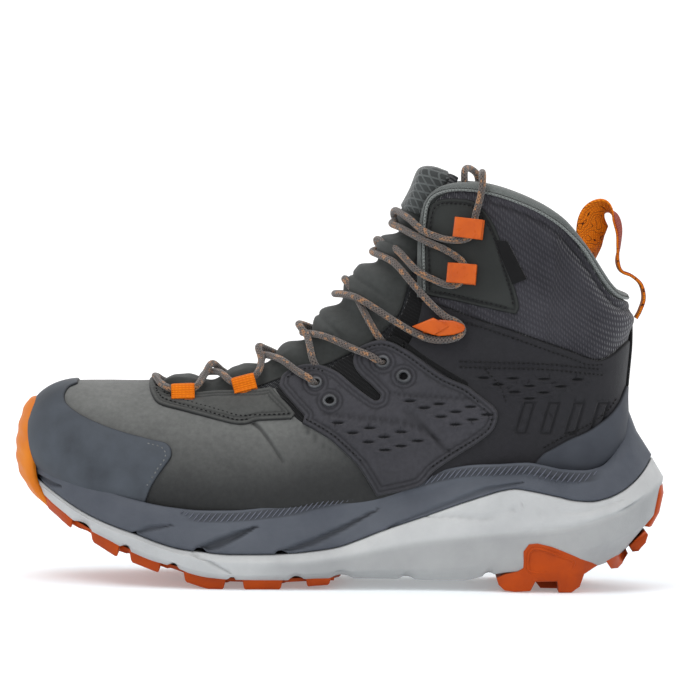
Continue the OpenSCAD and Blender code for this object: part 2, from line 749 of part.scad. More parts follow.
module tongue_slab(top, bottom, reach) {
  r = tongue_rows;
  c = tongue_cols;
  function pt(i, j, level) =
    let (u = tongue_first + (16.9 - tongue_first) * i / r)
    tongue_skin(u, (2 * j / c - 1) * (reach == 0 ? max(2, throat_at(u) - 3) : blade_reach(u)), level);
  k = (r + 1) * (c + 1);
  pts = concat(
    [for (i = [0:r]) for (j = [0:c]) pt(i, j, top)],
    [for (i = [0:r]) for (j = [0:c]) pt(i, j, bottom)]
  );
  function id(i, j) = i * (c + 1) + j;
  edge = concat(
    [for (j = [0:c]) id(0, j)], [for (i = [1:r]) id(i, c)],
    [for (j = [c - 1:-1:0]) id(r, j)], [for (i = [r - 1:-1:1]) id(i, 0)]
  );
  faces = concat(
    [for (i = [0:r - 1]) for (j = [0:c - 1])
      let (a = id(i, j), b = id(i, j + 1), d = id(i + 1, j), e = id(i + 1, j + 1))
      each [[a, d, b], [b, d, e], [k + a, k + b, k + d], [k + b, k + e, k + d]]],
    [for (m = [0:len(edge) - 1]) let (a = edge[m], b = edge[(m + 1) % len(edge)])
      each [[a, b, k + a], [b, k + b, k + a]]]
  );
  polyhedron(pts, faces, convexity = 8);
}

tongue_end = [
  [-200, 60], [-200, 200], [29, 200], [31, 194], [34.5, 199], [40, 201.5], [46, 199.5], [54, 193],
  [66, 178], [72, 150], [72, 60]
];

module tongue_pad() {
  color([0.2, 0.2, 0.21])
    resize([0, 0, 0])
      intersection() {
        tongue_slab(1, 2, 1);
        across(tongue_end);
      }
}

module tongue_cover() {
  color([0.36, 0.38, 0.37])
    resize([0, 0, 0])
      intersection() {
        tongue_slab(0, 1, 0);
        across(tongue_end);
      }
}

// ---- footbed ----
footbed_low = [[-150, 20], [60, 20], [140, 30]];
footbed_top = [
  [-150, 66], [-136, 58], [-120, 48], [-100, 41], [-80, 36.5], [-60, 34.5], [-30, 35],
  [0, 38], [30, 42.5], [60, 48], [90, 54], [120, 58], [140, 61]
];
module footbed() {
  color([0.25, 0.26, 0.28])
    resize([0, 0, 0])
      intersection() {
        inside(5);
        across(concat(footbed_low, [for (i = [len(footbed_top) - 1:-1:0]) footbed_top[i] + [0, footbed_t - 5]]));
      }
}

// ---- hardware ----
// frame on the skin: place, outward direction, direction the part runs
module on_skin(at, out, run) {
  n = unit(out);
  x = unit(run - n * (run * n));
  y = cross(n, x);
  multmatrix([
    [x[0], y[0], n[0], at[0]],
    [x[1], y[1], n[1], at[1]],
    [x[2], y[2], n[2], at[2]],
    [0, 0, 0, 1]
  ])
    children();
}

// webbing band folded over the lace: the lace runs along its own x
loop_len = 11;
module lace_loop(k, side) {
  at = k == 1 ? [-75.5, -20.8, 90.4] : [-46, -19.6, 95];
  out = k == 1 ? [-0.05, -0.49, 0.87] : [-0.22, -0.58, 0.8];
  color([0.92, 0.45, 0.1])
    mirror([0, side > 0 ? 1 : 0, 0])
      on_skin(at, out, k == 1 ? [1, 0, 0.05] : [1, 0, 0.3])
        translate([-loop_len / 2, 0, 0])
          rotate([90, 0, 90])
            linear_extrude(loop_len)
              difference() {
                translate([0, 2.6]) circle(3.2, $fn = 20);
                translate([0, 2.6]) circle(2.2, $fn = 20);
              }
}

// hook: base plate, neck towards the throat, top plate open towards the heel
module hook_body(width, reach, neck_at, neck_w) {
  base_t = 1.4;
  under = 5.6;
  translate([0, -width / 2, -0.3]) cube([reach, width, base_t]);
  translate([0, neck_at, 0]) cube([1.9, neck_w, under + 0.5]);
  rotate([90, 0, 0])
    translate([0, 0, -width / 2])
      linear_extrude(width)
        polygon([
          [0.4, under], [reach, under], [reach + 1, under + 0.5], [reach, under + hook_t],
          [1.6, under + hook_t], [0, under + 0.9]
        ]);
}

module speed_hook(k, side) {
  color([0.92, 0.4, 0.08])
    mirror([0, side > 0 ? 1 : 0, 0])
      on_skin(
        k == 1 ? [51.5, -28.4, 151.3] : [55, -27.2, 173.4],
        k == 1 ? [-0.24, -0.96, 0.1] : [-0.33, -0.94, 0.07],
        k == 1 ? [1, -0.24, -0.05] : [1, -0.33, -0.09]
      )
        translate([0, 0, overlay_t])
          hook_body(9.5, 13, -1, 4);
}

module lock_hook(side) {
  color([0.92, 0.4, 0.08])
    mirror([0, side > 0 ? 1 : 0, 0])
      on_skin([36, -26.6, 124.9], [-0.2, -0.97, 0.14], [1, -0.2, 0])
        translate([0, 0, 0.5]) {
          translate([4, -2.2, -0.3]) cube([13, 4.6, 1.2]);
          translate([4.5, -1.7, 0]) cube([11, 3.6, 6]);
          translate([0, 0, 5.6])
            linear_extrude(1.6)
              polygon([[-0.5, -0.6], [11, -4.4], [19, -3.4], [24, -1.5], [24, 1.5], [19, 3.2], [11, 4.4], [-0.5, 0.8]]);
        }
}

// ---- lace: route of the outer half, from the toe bar to its end inside the boot ----
// each point is x, y, z; the two halves meet at the middle of the bar across the toe of the throat
// shared part of a half on its own side of the boot, outer half as drawn
toe_run = [
  [-89, -7, 97.5], [-86.5, -15, 95.4], [-82, -21.8, 93.5], [-75.5, -23, 93], [-69.5, -20.8, 94.6],
  [-66, -10.5, 99.4]
];
loop_run = [[-57.5, 11, 100.6], [-52, 20.2, 97], [-46, 20.8, 98.1], [-40.5, 19, 101], [-38.5, 10, 107]];
flap_run = [
  [-29, -16.5, 108], [-21, -25, 103], [-15.4, -29.6, 100], [-12, -27.4, 97], [-10.4, -24.4, 99],
  [-11.8, -21.9, 104.4], [-14, -20.4, 109.5], [-16.5, -11, 118.8]
];
saddle_run = [
  [-8, 17.4, 119.6], [5, 26, 114.6], [13.6, 30.6, 111.4], [19.6, 28.4, 107.8], [22, 25.4, 110],
  [20, 23.7, 117], [16, 24, 122.5], [11, 20, 131]
];
lock_run = [
  [25, -27.2, 128], [34, -30.4, 123], [42, -33, 120], [50, -34.6, 119.8], [55.6, -35.4, 121.6],
  [57.6, -35.5, 124.8], [55, -34.8, 128.2], [49, -32.8, 131], [42, -30, 137], [33, -25.8, 146.5],
  [24, -17.5, 156]
];
first_hook_run = [
  [35, 25.4, 152.6], [44, 29.2, 148], [50.6, 31.9, 145.8], [55.6, 33, 147], [57.9, 33.2, 151.6],
  [57, 32.4, 157], [49, 28.4, 162.4], [38, 22.8, 167], [28, 12, 172]
];
last_hook_run = [
  [38, -22.4, 171.4], [47, -27.6, 168], [54.6, -31.4, 167.4], [60, -33, 169], [62, -33.3, 173.6],
  [62.6, -33, 179], [64.6, -33.2, 187], [65.6, -33.4, 193]
];
outer_end = [
  [65.8, -32.4, 198], [65.8, -27.5, 199.6], [65.8, -20.5, 199.3], [65.8, -16.8, 194.5], [66, -18, 185],
  [67, -19.2, 168], [68, -20.4, 150], [69, -21.6, 132], [70, -22.6, 114], [71, -23, 96]
];
inner_end = [
  [64.6, -32.2, 198.2], [61, -26.5, 201], [58.5, -18, 200.4], [58.2, -13.6, 195.5], [59, -14.4, 187],
  [61.5, -17, 171], [64, -19, 154], [66, -21, 136], [68, -22.4, 118], [69, -22.6, 100]
];
function flip(run) = [for (p = run) [p[0], -p[1], p[2]]];

lace_route_outer = concat(
  [[-90, 0, 98.2]], toe_run, [[-62.5, 0, 104.7]], loop_run, [[-37.3, 0, 109.4]], flap_run,
  [[-19.8, -5, 123], [-20, 2, 124.6]], saddle_run, [[5, 11, 138.5], [-3.8, 0, 139.6], [7, -18, 138.4]],
  lock_run, [[14, 0, 160.4]], [[25.5, 13.6, 160.6]], first_hook_run,
  [[24.3, 7, 177.6], [25, 0, 180.4], [31, -14, 177]],
  last_hook_run, outer_end
);
lace_route_inner = concat(
  [[-90, 0, 98.2]], flip(toe_run), [[-61.4, 0, 100.8]], flip(loop_run),
  [[-40.2, -2, 113.2], [-36.6, 6, 112]], flip(flap_run), [[-18.6, 0, 120.4]], flip(saddle_run),
  [[5.6, -10, 140.5], [1, 0, 147], [11, 15, 139.2]], flip(lock_run), [[17.2, 9, 163.2], [16.8, 0, 166.2]],
  [[26, -15, 161.4]], flip(first_hook_run), [[23.2, 0, 174.4], [32, 13, 176.6]], flip(last_hook_run),
  flip(inner_end)
);

function run_length(p, i = 1) = i >= len(p) ? 0 : norm(p[i] - p[i - 1]) + run_length(p, i + 1);

// tube of eight sides with one ring at each point of the route
module lace_tube(route, d) {
  m = len(route) - 1;
  sides = 8;
  dirs = [for (i = [0:m]) unit(route[min(m, i + 1)] - route[max(0, i - 1)])];
  function turn(n, t) = unit(n - t * (n * t));
  function frames(i, n) = i > m ? [] : let (v = turn(n, dirs[i])) concat([v], frames(i + 1, v));
  up = frames(0, [0, 0, 1]);
  points = [
    for (i = [0:m]) for (k = [0:sides - 1])
      let (a = 360 * k / sides, w = cross(dirs[i], up[i]))
      route[i] + d / 2 * (cos(a) * up[i] + sin(a) * w)
  ];
  skin_faces = [
    for (i = [0:m - 1]) for (k = [0:sides - 1])
      let (a = i * sides + k, b = i * sides + (k + 1) % sides)
      each [[a, a + sides, b], [b, a + sides, b + sides]]
  ];
  ends = [[for (k = [0:sides - 1]) k], [for (k = [sides - 1:-1:0]) m * sides + k]];
  polyhedron(points, concat(skin_faces, ends), convexity = 10);
}

module lace(side) {
  color([0.42, 0.37, 0.34])
    lace_tube(side < 0 ? lace_route_outer : lace_route_inner, lace_d - 0.4);
}

aglet_len = 22;
module aglet(side) {
  route = side < 0 ? lace_route_outer : lace_route_inner;
  tip = route[len(route) - 1];
  color([0.15, 0.15, 0.15])
    on_skin(tip, tip - route[len(route) - 2], [1, 0, 0])
      rotate_extrude($fn = 16)
        polygon([[0, 0], [1.7, 0], [1.7, aglet_len - 1], [1.1, aglet_len], [0, aglet_len]]);
}

// ---- pull loop at the heel: centre line and the direction of its width ----
loop_line = [
  [[117.5, 0, 141.5], [0, 1, 0]], [[119, 0, 149.5], [0, 1, 0]], [[119.8, 0, 157], [0.25, 1, 0]],
  [[119.8, -0.5, 164.5], [0.7, 0.9, 0.1]],
  [[119.5, -1, 172], [1, 0.6, 0.1]], [[121.5, -1, 179], [1, 0.5, -0.1]], [[126, -0.5, 182.5], [0.7, 0.8, -0.4]],
  [[130.5, 0, 180], [0.4, 1, -0.3]], [[133, 0.3, 173], [0.2, 1, 0]], [[133, 0.3, 165], [0.1, 1, 0]],
  [[132.6, 0.2, 158], [0, 1, 0]], [[134.5, 0, 153.2], [0, 1, 0]], [[139.5, 0, 151], [0, 1, 0]],
  [[144, 0, 147], [0, 1, 0]], [[145.6, 0, 140.5], [0, 1, 0]], [[144, 0, 134.5], [0, 1, 0]],
  [[142, 0, 130.5], [0, 1, 0]]
];
loop_t = 1.5;
module heel_loop() {
  m = len(loop_line) - 1;
  function span_w(i) = loop_w * (i < 2 ? 0.8 : i > m - 2 ? 0.85 : 1);
  pts = [
    for (i = [0:m])
      let (
        c = loop_line[i][0],
        t = unit(loop_line[min(m, i + 1)][0] - loop_line[max(0, i - 1)][0]),
        w = unit(loop_line[i][1] - t * (loop_line[i][1] * t)),
        n = cross(t, w)
      )
      each [
        c - w * span_w(i) / 2 - n * loop_t / 2, c + w * span_w(i) / 2 - n * loop_t / 2,
        c + w * span_w(i) / 2 + n * loop_t / 2, c - w * span_w(i) / 2 + n * loop_t / 2
      ]
  ];
  faces = concat(
    [for (i = [0:m - 1]) for (k = [0:3])
      let (a = i * 4 + k, b = i * 4 + (k + 1) % 4)
      each [[a, a + 4, b], [b, a + 4, b + 4]]],
    [[0, 1, 2, 3], [4 * m + 3, 4 * m + 2, 4 * m + 1, 4 * m]]
  );
  color([0.9, 0.45, 0.12])
    polyhedron(pts, faces, convexity = 6);
}

outsole_forefoot();
outsole_heel();
toe_bumper();
midsole_lower();
midsole_upper();
strobel_board();
toe_puff();
heel_counter();
lining_sock();
vamp();
rear_quarter(-1);  // rear_quarter_lateral
rear_quarter(1);  // rear_quarter_medial
collar_textile();
collar_foam();
collar_binding();
toe_cap();
eyestay();
saddle(-1);  // saddle_lateral
saddle(1);  // saddle_medial
heel_foxing();
backstay();
facing(-1);  // facing_lateral
facing(1);  // facing_medial
side_label();
eyelet_set(-1);  // eyelets_lateral
eyelet_set(1);  // eyelets_medial
lace_loop(1, -1);  // lace_loop_lateral_1
lace_loop(2, -1);  // lace_loop_lateral_2
lace_loop(1, 1);  // lace_loop_medial_1
lace_loop(2, 1);  // lace_loop_medial_2
lock_hook(-1);  // lock_hook_lateral
lock_hook(1);  // lock_hook_medial
speed_hook(1, -1);  // speed_hook_lateral_1
speed_hook(2, -1);  // speed_hook_lateral_2
speed_hook(1, 1);  // speed_hook_medial_1
speed_hook(2, 1);  // speed_hook_medial_2
lace(-1);  // lace_lateral
lace(1);  // lace_medial
aglet(-1);  // aglet_lateral
aglet(1);  // aglet_medial
tongue_pad();
tongue_cover();
footbed();
heel_loop();
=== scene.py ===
import math
import bmesh
import bpy
import numpy as np
from mathutils import Matrix, Vector
from mathutils.kdtree import KDTree
from mathutils.geometry import delaunay_2d_cdt


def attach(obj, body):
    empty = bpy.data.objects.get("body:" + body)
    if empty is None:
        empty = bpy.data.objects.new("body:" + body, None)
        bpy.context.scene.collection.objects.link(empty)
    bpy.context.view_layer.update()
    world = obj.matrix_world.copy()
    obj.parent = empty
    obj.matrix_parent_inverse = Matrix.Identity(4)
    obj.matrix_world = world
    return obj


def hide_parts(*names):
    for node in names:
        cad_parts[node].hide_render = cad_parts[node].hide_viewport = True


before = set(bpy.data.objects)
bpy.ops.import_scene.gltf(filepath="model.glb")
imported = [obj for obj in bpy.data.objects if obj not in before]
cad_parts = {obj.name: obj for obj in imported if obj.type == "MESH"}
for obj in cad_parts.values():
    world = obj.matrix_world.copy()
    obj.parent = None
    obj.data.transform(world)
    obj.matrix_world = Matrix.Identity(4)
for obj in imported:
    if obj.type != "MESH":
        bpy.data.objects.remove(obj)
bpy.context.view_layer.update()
MM = 0.001
OUTER, INNER = -1, 1        # sides of the foot: outer is -Y, inner is +Y
SIDES = (OUTER, INNER)


# ------------------------------------------------------------------ camera
def look_from(azimuth, elevation, distance, target, lens, roll):
    data = bpy.data.cameras.new("camera")
    cam = bpy.data.objects.new("camera", data)
    bpy.context.scene.collection.objects.link(cam)
    a, e = math.radians(azimuth), math.radians(elevation)
    back = Vector((math.sin(a) * math.cos(e), -math.cos(a) * math.cos(e), math.sin(e)))
    cam.location = Vector(target) + back * distance
    turn = (-back).to_track_quat("-Z", "Y").to_matrix()
    spin = Vector((0, 0, 1))
    cam.rotation_mode = "QUATERNION"
    cam.rotation_quaternion = (turn @ Matrix.Rotation(math.radians(roll), 3, spin)).to_quaternion()
    data.sensor_width = 36
    data.lens = lens
    data.clip_end = 50
    bpy.context.scene.camera = cam


look_from(azimuth=0, elevation=2.6, distance=2.5, target=(-0.0008, 0, 0.1172), lens=273.5, roll=1.07)


# ------------------------------------------------------------------ curves and fields
def cubic(table, t):
    """Catmull-Rom through the rows of a table"""
    table = np.asarray(table, float)
    t = np.atleast_1d(np.asarray(t, float))
    last = len(table) - 1
    i = np.clip(np.floor(t).astype(int), 0, last - 1)
    f = (t - i)[:, None]
    p1, p2 = table[i], table[i + 1]
    p0 = np.where((i == 0)[:, None], 2 * p1 - p2, table[np.maximum(i - 1, 0)])
    p3 = np.where((i == last - 1)[:, None], 2 * p2 - p1, table[np.minimum(i + 2, last)])
    return 0.5 * (2 * p1 + (p2 - p0) * f + (2 * p0 - 5 * p1 + 4 * p2 - p3) * f ** 2
                  + (3 * p1 - p0 - 3 * p2 + p3) * f ** 3)


def height_on(line, x):
    """smooth height along a line of (x, z) points, without overshoot"""
    line = np.asarray(line, float)
    xs, zs = line[:, 0], line[:, 1]
    h, d = np.diff(xs), np.diff(zs) / np.diff(xs)
    m = np.zeros(len(xs))
    same = d[:-1] * d[1:] > 0
    w1, w2 = 2 * h[1:] + h[:-1], h[1:] + 2 * h[:-1]
    with np.errstate(divide="ignore", invalid="ignore"):
        m[1:-1] = np.where(same, (w1 + w2) / (w1 / d[:-1] + w2 / d[1:]), 0)
    m[0], m[-1] = d[0], d[-1]
    x = np.clip(np.asarray(x, float), xs[0], xs[-1])
    i = np.clip(np.searchsorted(xs, x) - 1, 0, len(xs) - 2)
    s = (x - xs[i]) / h[i]
    return ((1 + 2 * s) * (1 - s) ** 2 * zs[i] + s * (1 - s) ** 2 * h[i] * m[i]
            + s * s * (3 - 2 * s) * zs[i + 1] + s * s * (s - 1) * h[i] * m[i + 1])


def ease(t):
    t = np.clip(t, 0, 1)
    return t * t * (3 - 2 * t)


def run_along(line):
    """length along a line at each of its points"""
    return np.concatenate([[0], np.cumsum(np.linalg.norm(np.diff(line, axis=0), axis=1))])


def tangents(line):
    """unit directions along a line at its points"""
    way = np.gradient(line, axis=0)
    return way / np.maximum(np.linalg.norm(way, axis=1), 1e-9)[:, None]


def level(line, x):
    """height of a line of (x, z) points, straight between them"""
    return np.interp(x, np.array(line)[:, 0], np.array(line)[:, 1])


def mirrored(points, side):
    """points made for the outer side of the foot, moved over to the inner side where asked"""
    return points * [1, -1, 1] if side == INNER else points


def rounded(outline, sub=5, corner=48, closed=True):
    """smooth line through an outline, with its sharp corners kept"""
    p = np.asarray(outline, float)
    n = len(p)
    before = np.roll(p, 1, 0) if closed else np.vstack([2 * p[:1] - p[1:2], p[:-1]])
    after = np.roll(p, -1, 0) if closed else np.vstack([p[1:], 2 * p[-1:] - p[-2:-1]])
    a, b = p - before, after - p
    turn = np.degrees(np.abs(np.arctan2(a[:, 0] * b[:, 1] - a[:, 1] * b[:, 0], (a * b).sum(1))))
    sharp = turn > corner
    out = []
    for i in range(n if closed else n - 1):
        j = (i + 1) % n
        p1, p2 = p[i], p[j]
        p0 = 2 * p1 - p2 if sharp[i] else before[i]
        p3 = 2 * p2 - p1 if sharp[j] else after[j]
        length = np.linalg.norm(p2 - p1)
        # handles no longer than the span itself
        m1, m2 = (p2 - p0) / 2, (p3 - p1) / 2
        for m in (m1, m2):
            size = np.linalg.norm(m)
            if size > length:
                m *= length / size
        for s in np.arange(sub) / sub:
            out.append((1 + 2 * s) * (1 - s) ** 2 * p1 + s * (1 - s) ** 2 * m1
                       + s * s * (3 - 2 * s) * p2 + s * s * (s - 1) * m2)
    if not closed:
        out.append(p[-1])
    return np.array(out)


def to_line(p, line, closed=True):
    """distance from points to a line, the direction away from it, and whether inside (closed lines)"""
    a = line
    b = np.roll(line, -1, 0) if closed else line[1:]
    a = a[:len(b)]
    best = np.full(len(p), 1e9)
    way = np.zeros((len(p), 2))
    inside = np.zeros(len(p), bool)
    for q, r in zip(a, b):
        d = r - q
        t = np.clip(((p - q) @ d) / max(d @ d, 1e-9), 0, 1)
        v = p - q - t[:, None] * d
        dist = np.einsum("ij,ij->i", v, v)
        near = dist < best
        best[near] = dist[near]
        way[near] = v[near]
        if closed:
            cross = (q[1] > p[:, 1]) != (r[1] > p[:, 1])
            at = q[0] + (p[:, 1] - q[1]) * d[0] / (d[1] if abs(d[1]) > 1e-9 else 1e-9)
            inside ^= cross & (p[:, 0] < at)
    best = np.sqrt(best)
    return best, way / np.maximum(best, 1e-6)[:, None], inside


# ------------------------------------------------------------------ meshes
def add(name, verts, faces, body, material, slot=None, replaces=(), st=None, smooth=True):
    """a mesh object from points in millimetres, riding on a body"""
    me = bpy.data.meshes.new(name)
    verts = np.asarray(verts, float) * MM
    if isinstance(faces, np.ndarray):
        faces = faces.tolist()
    me.from_pydata(verts.tolist(), [], faces)
    me.validate()
    if smooth:
        me.polygons.foreach_set("use_smooth", [True] * len(me.polygons))
    if st is not None:
        attribute = me.attributes.new("st", "FLOAT_VECTOR", "POINT")
        flat = np.zeros((len(verts), 3), np.float32)
        flat[:, :np.shape(st)[1]] = st
        attribute.data.foreach_set("vector", flat.ravel())
    obj = bpy.data.objects.new(name, me)
    bpy.context.scene.collection.objects.link(obj)
    me.materials.append(material)
    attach(obj, body)
    if replaces:
        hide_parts(*replaces)
    return obj


def divide(q, tri, choose):
    """splits the chosen edges of a triangle mesh; choose(edges) gives a mask and where along each edge"""
    e = np.sort(np.stack([tri[:, [0, 1]], tri[:, [1, 2]], tri[:, [2, 0]]], 1), -1)
    flat = e.reshape(-1, 2)
    _, first, back = np.unique(flat[:, 0].astype(np.int64) * len(q) + flat[:, 1],
                               return_index=True, return_inverse=True)
    edges = flat[first]
    mask, t = choose(edges)
    index = np.full(len(edges), -1)
    index[mask] = len(q) + np.arange(mask.sum())
    a, b = edges[mask].T
    t = t[mask][:, None]
    q = np.vstack([q, q[a] * (1 - t) + q[b] * t])
    mid = index[back.reshape(-1)].reshape(-1, 3)
    count = (mid >= 0).sum(1)
    out = [tri[count == 0]]
    k = count == 3
    (A, B, C), (D, E, F) = tri[k].T, mid[k].T
    out += [np.stack(x, 1) for x in ((A, D, F), (D, B, E), (F, E, C), (D, E, F))]
    for turn in range(3):
        rt, rm = np.roll(tri, -turn, 1), np.roll(mid, -turn, 1)
        k = (count == 1) & (rm[:, 0] >= 0)
        A, B, C, D = rt[k, 0], rt[k, 1], rt[k, 2], rm[k, 0]
        out += [np.stack((A, D, C), 1), np.stack((D, B, C), 1)]
        k = (count == 2) & (rm[:, 2] < 0)
        A, B, C, D, E = rt[k, 0], rt[k, 1], rt[k, 2], rm[k, 0], rm[k, 1]
        out += [np.stack(x, 1) for x in ((D, B, E), (A, D, E), (A, E, C))]
    return q, np.vstack(out), mask.sum()


def trimmed(q, tri):
    used, back = np.unique(tri, return_inverse=True)
    return q[used], back.reshape(-1, 3)


def rim(tri):
    """directed edges that only one triangle uses"""
    e = np.vstack([tri[:, [0, 1]], tri[:, [1, 2]], tri[:, [2, 0]]]).astype(np.int64)
    n = e.max() + 1
    return e[~np.isin(e[:, 0] * n + e[:, 1], e[:, 1] * n + e[:, 0])]


def closed_faces(tri, n):
    """a surface of n points, its copy facing the other way, and the walls between their rims"""
    a, b = rim(tri).T
    return np.vstack([tri, tri[:, ::-1] + n, np.stack([a, a + n, b], 1), np.stack([b, a + n, b + n], 1)])


def double_sheet(rows, cols, turned=False):
    """faces of a closed sheet: a grid of points, the same grid again for its other face, and the rim"""
    half = rows * cols
    faces = []
    for i in range(rows - 1):
        for j in range(cols - 1):
            a = i * cols + j
            for face in ([a, a + cols, a + cols + 1, a + 1],
                         [half + a, half + a + 1, half + a + cols + 1, half + a + cols]):
                faces.append(face[:1] + face[:0:-1] if turned else face)
    loop = list(range(cols)) + [i * cols + cols - 1 for i in range(1, rows)]
    loop += [(rows - 1) * cols + j for j in range(cols - 2, -1, -1)]
    loop += [i * cols for i in range(rows - 2, 0, -1)]
    for a, b in zip(loop, loop[1:] + loop[:1]):
        faces.append([b, a, a + half, b + half] if turned else [a, b, b + half, a + half])
    return faces


def face_outward(obj):
    """turns the faces of a closed mesh outward"""
    bm = bmesh.new()
    bm.from_mesh(obj.data)
    bmesh.ops.recalc_face_normals(bm, faces=bm.faces)
    bm.to_mesh(obj.data)
    bm.free()


# ------------------------------------------------------------------ the upper's surface
# each row: front x and z, back x and z, half width, where it is widest,
# roundness of the front and of the back, sideways offset, how far the section arches
STATIONS = np.array([
    [-151, 69, -151, 69, 0, 0.55, 2, 2.2, 5, 0],
    [-150, 80, -149, 58, 17, 0.55, 2.1, 2.4, 5, 0],
    [-144, 89, -143, 50, 28, 0.57, 2.2, 2.8, 5, 0],
    [-132, 94.5, -131, 43, 37, 0.62, 2.2, 3.5, 4, 0],
    [-114, 95.5, -114, 35, 45, 0.65, 2.1, 4, 3, 0],
    [-94, 96, -92, 29, 49.5, 0.66, 1.9, 4, 2, 0],
    [-73, 97.5, -64, 25.5, 50.5, 0.66, 1.65, 4, 0, 0],
    [-52, 101, -32, 25.5, 48, 0.66, 1.55, 4, -2, 0],
    [-33, 109.5, 6, 29, 43, 0.63, 1.55, 4, -2, 0],
    [-17, 120, 50, 37, 39.5, 0.61, 1.6, 3.8, -1, 0],
    [-5, 133.5, 95, 41, 36.5, 0.6, 1.75, 3.2, 0, 2],
    [6, 146, 127, 46, 35, 0.6, 1.9, 2.7, 0, 5],
    [15, 157, 138, 68, 34.5, 0.6, 2, 2.4, 0, 9],
    [23, 168, 138, 95, 34, 0.6, 2, 2.3, 0, 12],
    [30, 179.5, 139.5, 120, 34.5, 0.59, 2, 2.2, 0, 14],
    [35, 189, 138, 138, 35, 0.58, 2, 2.2, 0, 16],
    [38, 197, 132, 148, 34.5, 0.58, 2, 2.2, 0, 17],
    [42, 206, 128, 158, 34, 0.58, 2, 2.2, 0, 18]], float)
LAST = len(STATIONS) - 1
THROAT = [0, 0, 0, 0, 0, 4, 25, 25, 28, 36, 43, 42, 36, 30, 24, 20, 18, 16]
UPPER_T, LINING_T = 1.6, 1.2      # thickness of the outer skin and of the lining


def section(u, ph):
    """points of the upper's skin: station and angle round the section (0 in front, + on the outer side)"""
    w = cubic(STATIONS, u)
    c, s = np.cos(ph), np.sin(ph)
    front = c >= 0
    size = np.maximum(np.abs(c), 1e-9)
    a = np.where(front, w[:, 5] * (1 - size ** (2 / w[:, 6])),
                 w[:, 5] + (1 - w[:, 5]) * size ** (2 / w[:, 7]))
    f, d = w[:, 0:2], w[:, 2:4] - w[:, 0:2]
    n = np.stack([-d[:, 1], d[:, 0]], 1) / np.maximum(np.linalg.norm(d, axis=1), 1e-6)[:, None]
    xz = f + a[:, None] * d + n * (w[:, 9] * 4 * a * (1 - a))[:, None]
    y = np.maximum(w[:, 4], 0) * np.maximum(np.abs(s), 1e-9) ** (2 / np.where(front, w[:, 6], w[:, 7]))
    return np.stack([xz[:, 0], w[:, 8] - np.sign(s) * y, xz[:, 1]], 1)


def outward(u, ph):
    h = 2e-3
    along = section(np.minimum(u + h, LAST), ph) - section(np.maximum(u - h, 0.01), ph)
    around = section(u, ph + h) - section(u, ph - h)
    n = np.cross(around, along)
    return n / np.maximum(np.linalg.norm(n, axis=1), 1e-9)[:, None]


def skin(q, off=0.0):
    """points at a distance off the skin"""
    p = section(q[:, 0], q[:, 1])
    return p + outward(q[:, 0], q[:, 1]) * np.broadcast_to(np.asarray(off, float), len(q))[:, None]


COLLAR_SEAM = np.array([
    [20, 128], [34, 136], [40, 138], [55, 133], [65, 129.5], [80, 125], [95, 120], [110, 115],
    [118, 112], [124, 111], [130, 113.5], [136, 118], [141, 121]], float)


def room(p):
    """space between the outer layer and the lining, for stiffeners and for foam"""
    over = p[:, 2] - np.interp(p[:, 0], COLLAR_SEAM[:, 0], COLLAR_SEAM[:, 1])
    foam = 4 * ease((over - 1) / 12) * ease((p[:, 0] - 28) / 14)
    toe = ease((-110 - p[:, 0]) / 6) * ease((p[:, 2] - 58) / 6)
    heel = ease((p[:, 0] - 76) / 6)
    low = ease((over - 1) / 3) * ease((p[:, 0] - 28) / 4)
    return np.maximum(0.15, foam + np.maximum(np.maximum(toe, heel), low))


def lining_level(p):
    """where the outer face of the lining is, from the skin"""
    return -UPPER_T - room(p)


def skin_at(q):
    """points of the skin and their outward directions"""
    return section(q[:, 0], q[:, 1]), outward(q[:, 0], q[:, 1])


# lengths round and along the skin, so that weaves keep their scale
_us = np.linspace(0.05, LAST, 140)
_ps = np.linspace(0, 2 * math.pi, 181)
_gu, _gp = np.meshgrid(_us, _ps, indexing="ij")
_g = section(_gu.ravel(), _gp.ravel()).reshape(len(_us), len(_ps), 3)
_round = np.concatenate([np.zeros((len(_us), 1)),
                         np.cumsum(np.linalg.norm(np.diff(_g, axis=1), axis=2), 1)], 1)
_along = np.concatenate([np.zeros((1, len(_ps))),
                         np.cumsum(np.linalg.norm(np.diff(_g, axis=0), axis=2), 0)], 0)


def lengths(q):
    """distance round the section and along the boot, in millimetres"""
    p = np.mod(q[:, 1], 2 * math.pi)
    i = np.clip((q[:, 0] - _us[0]) / (_us[1] - _us[0]), 0, len(_us) - 1.001)
    j = np.clip(p / (_ps[1] - _ps[0]), 0, len(_ps) - 1.001)
    i0, j0 = i.astype(int), j.astype(int)
    fi, fj = i - i0, j - j0

    def at(grid):
        return ((grid[i0, j0] * (1 - fi) + grid[i0 + 1, j0] * fi) * (1 - fj)
                + (grid[i0, j0 + 1] * (1 - fi) + grid[i0 + 1, j0 + 1] * fi) * fj)
    return np.stack([at(_round), at(_along)], 1)


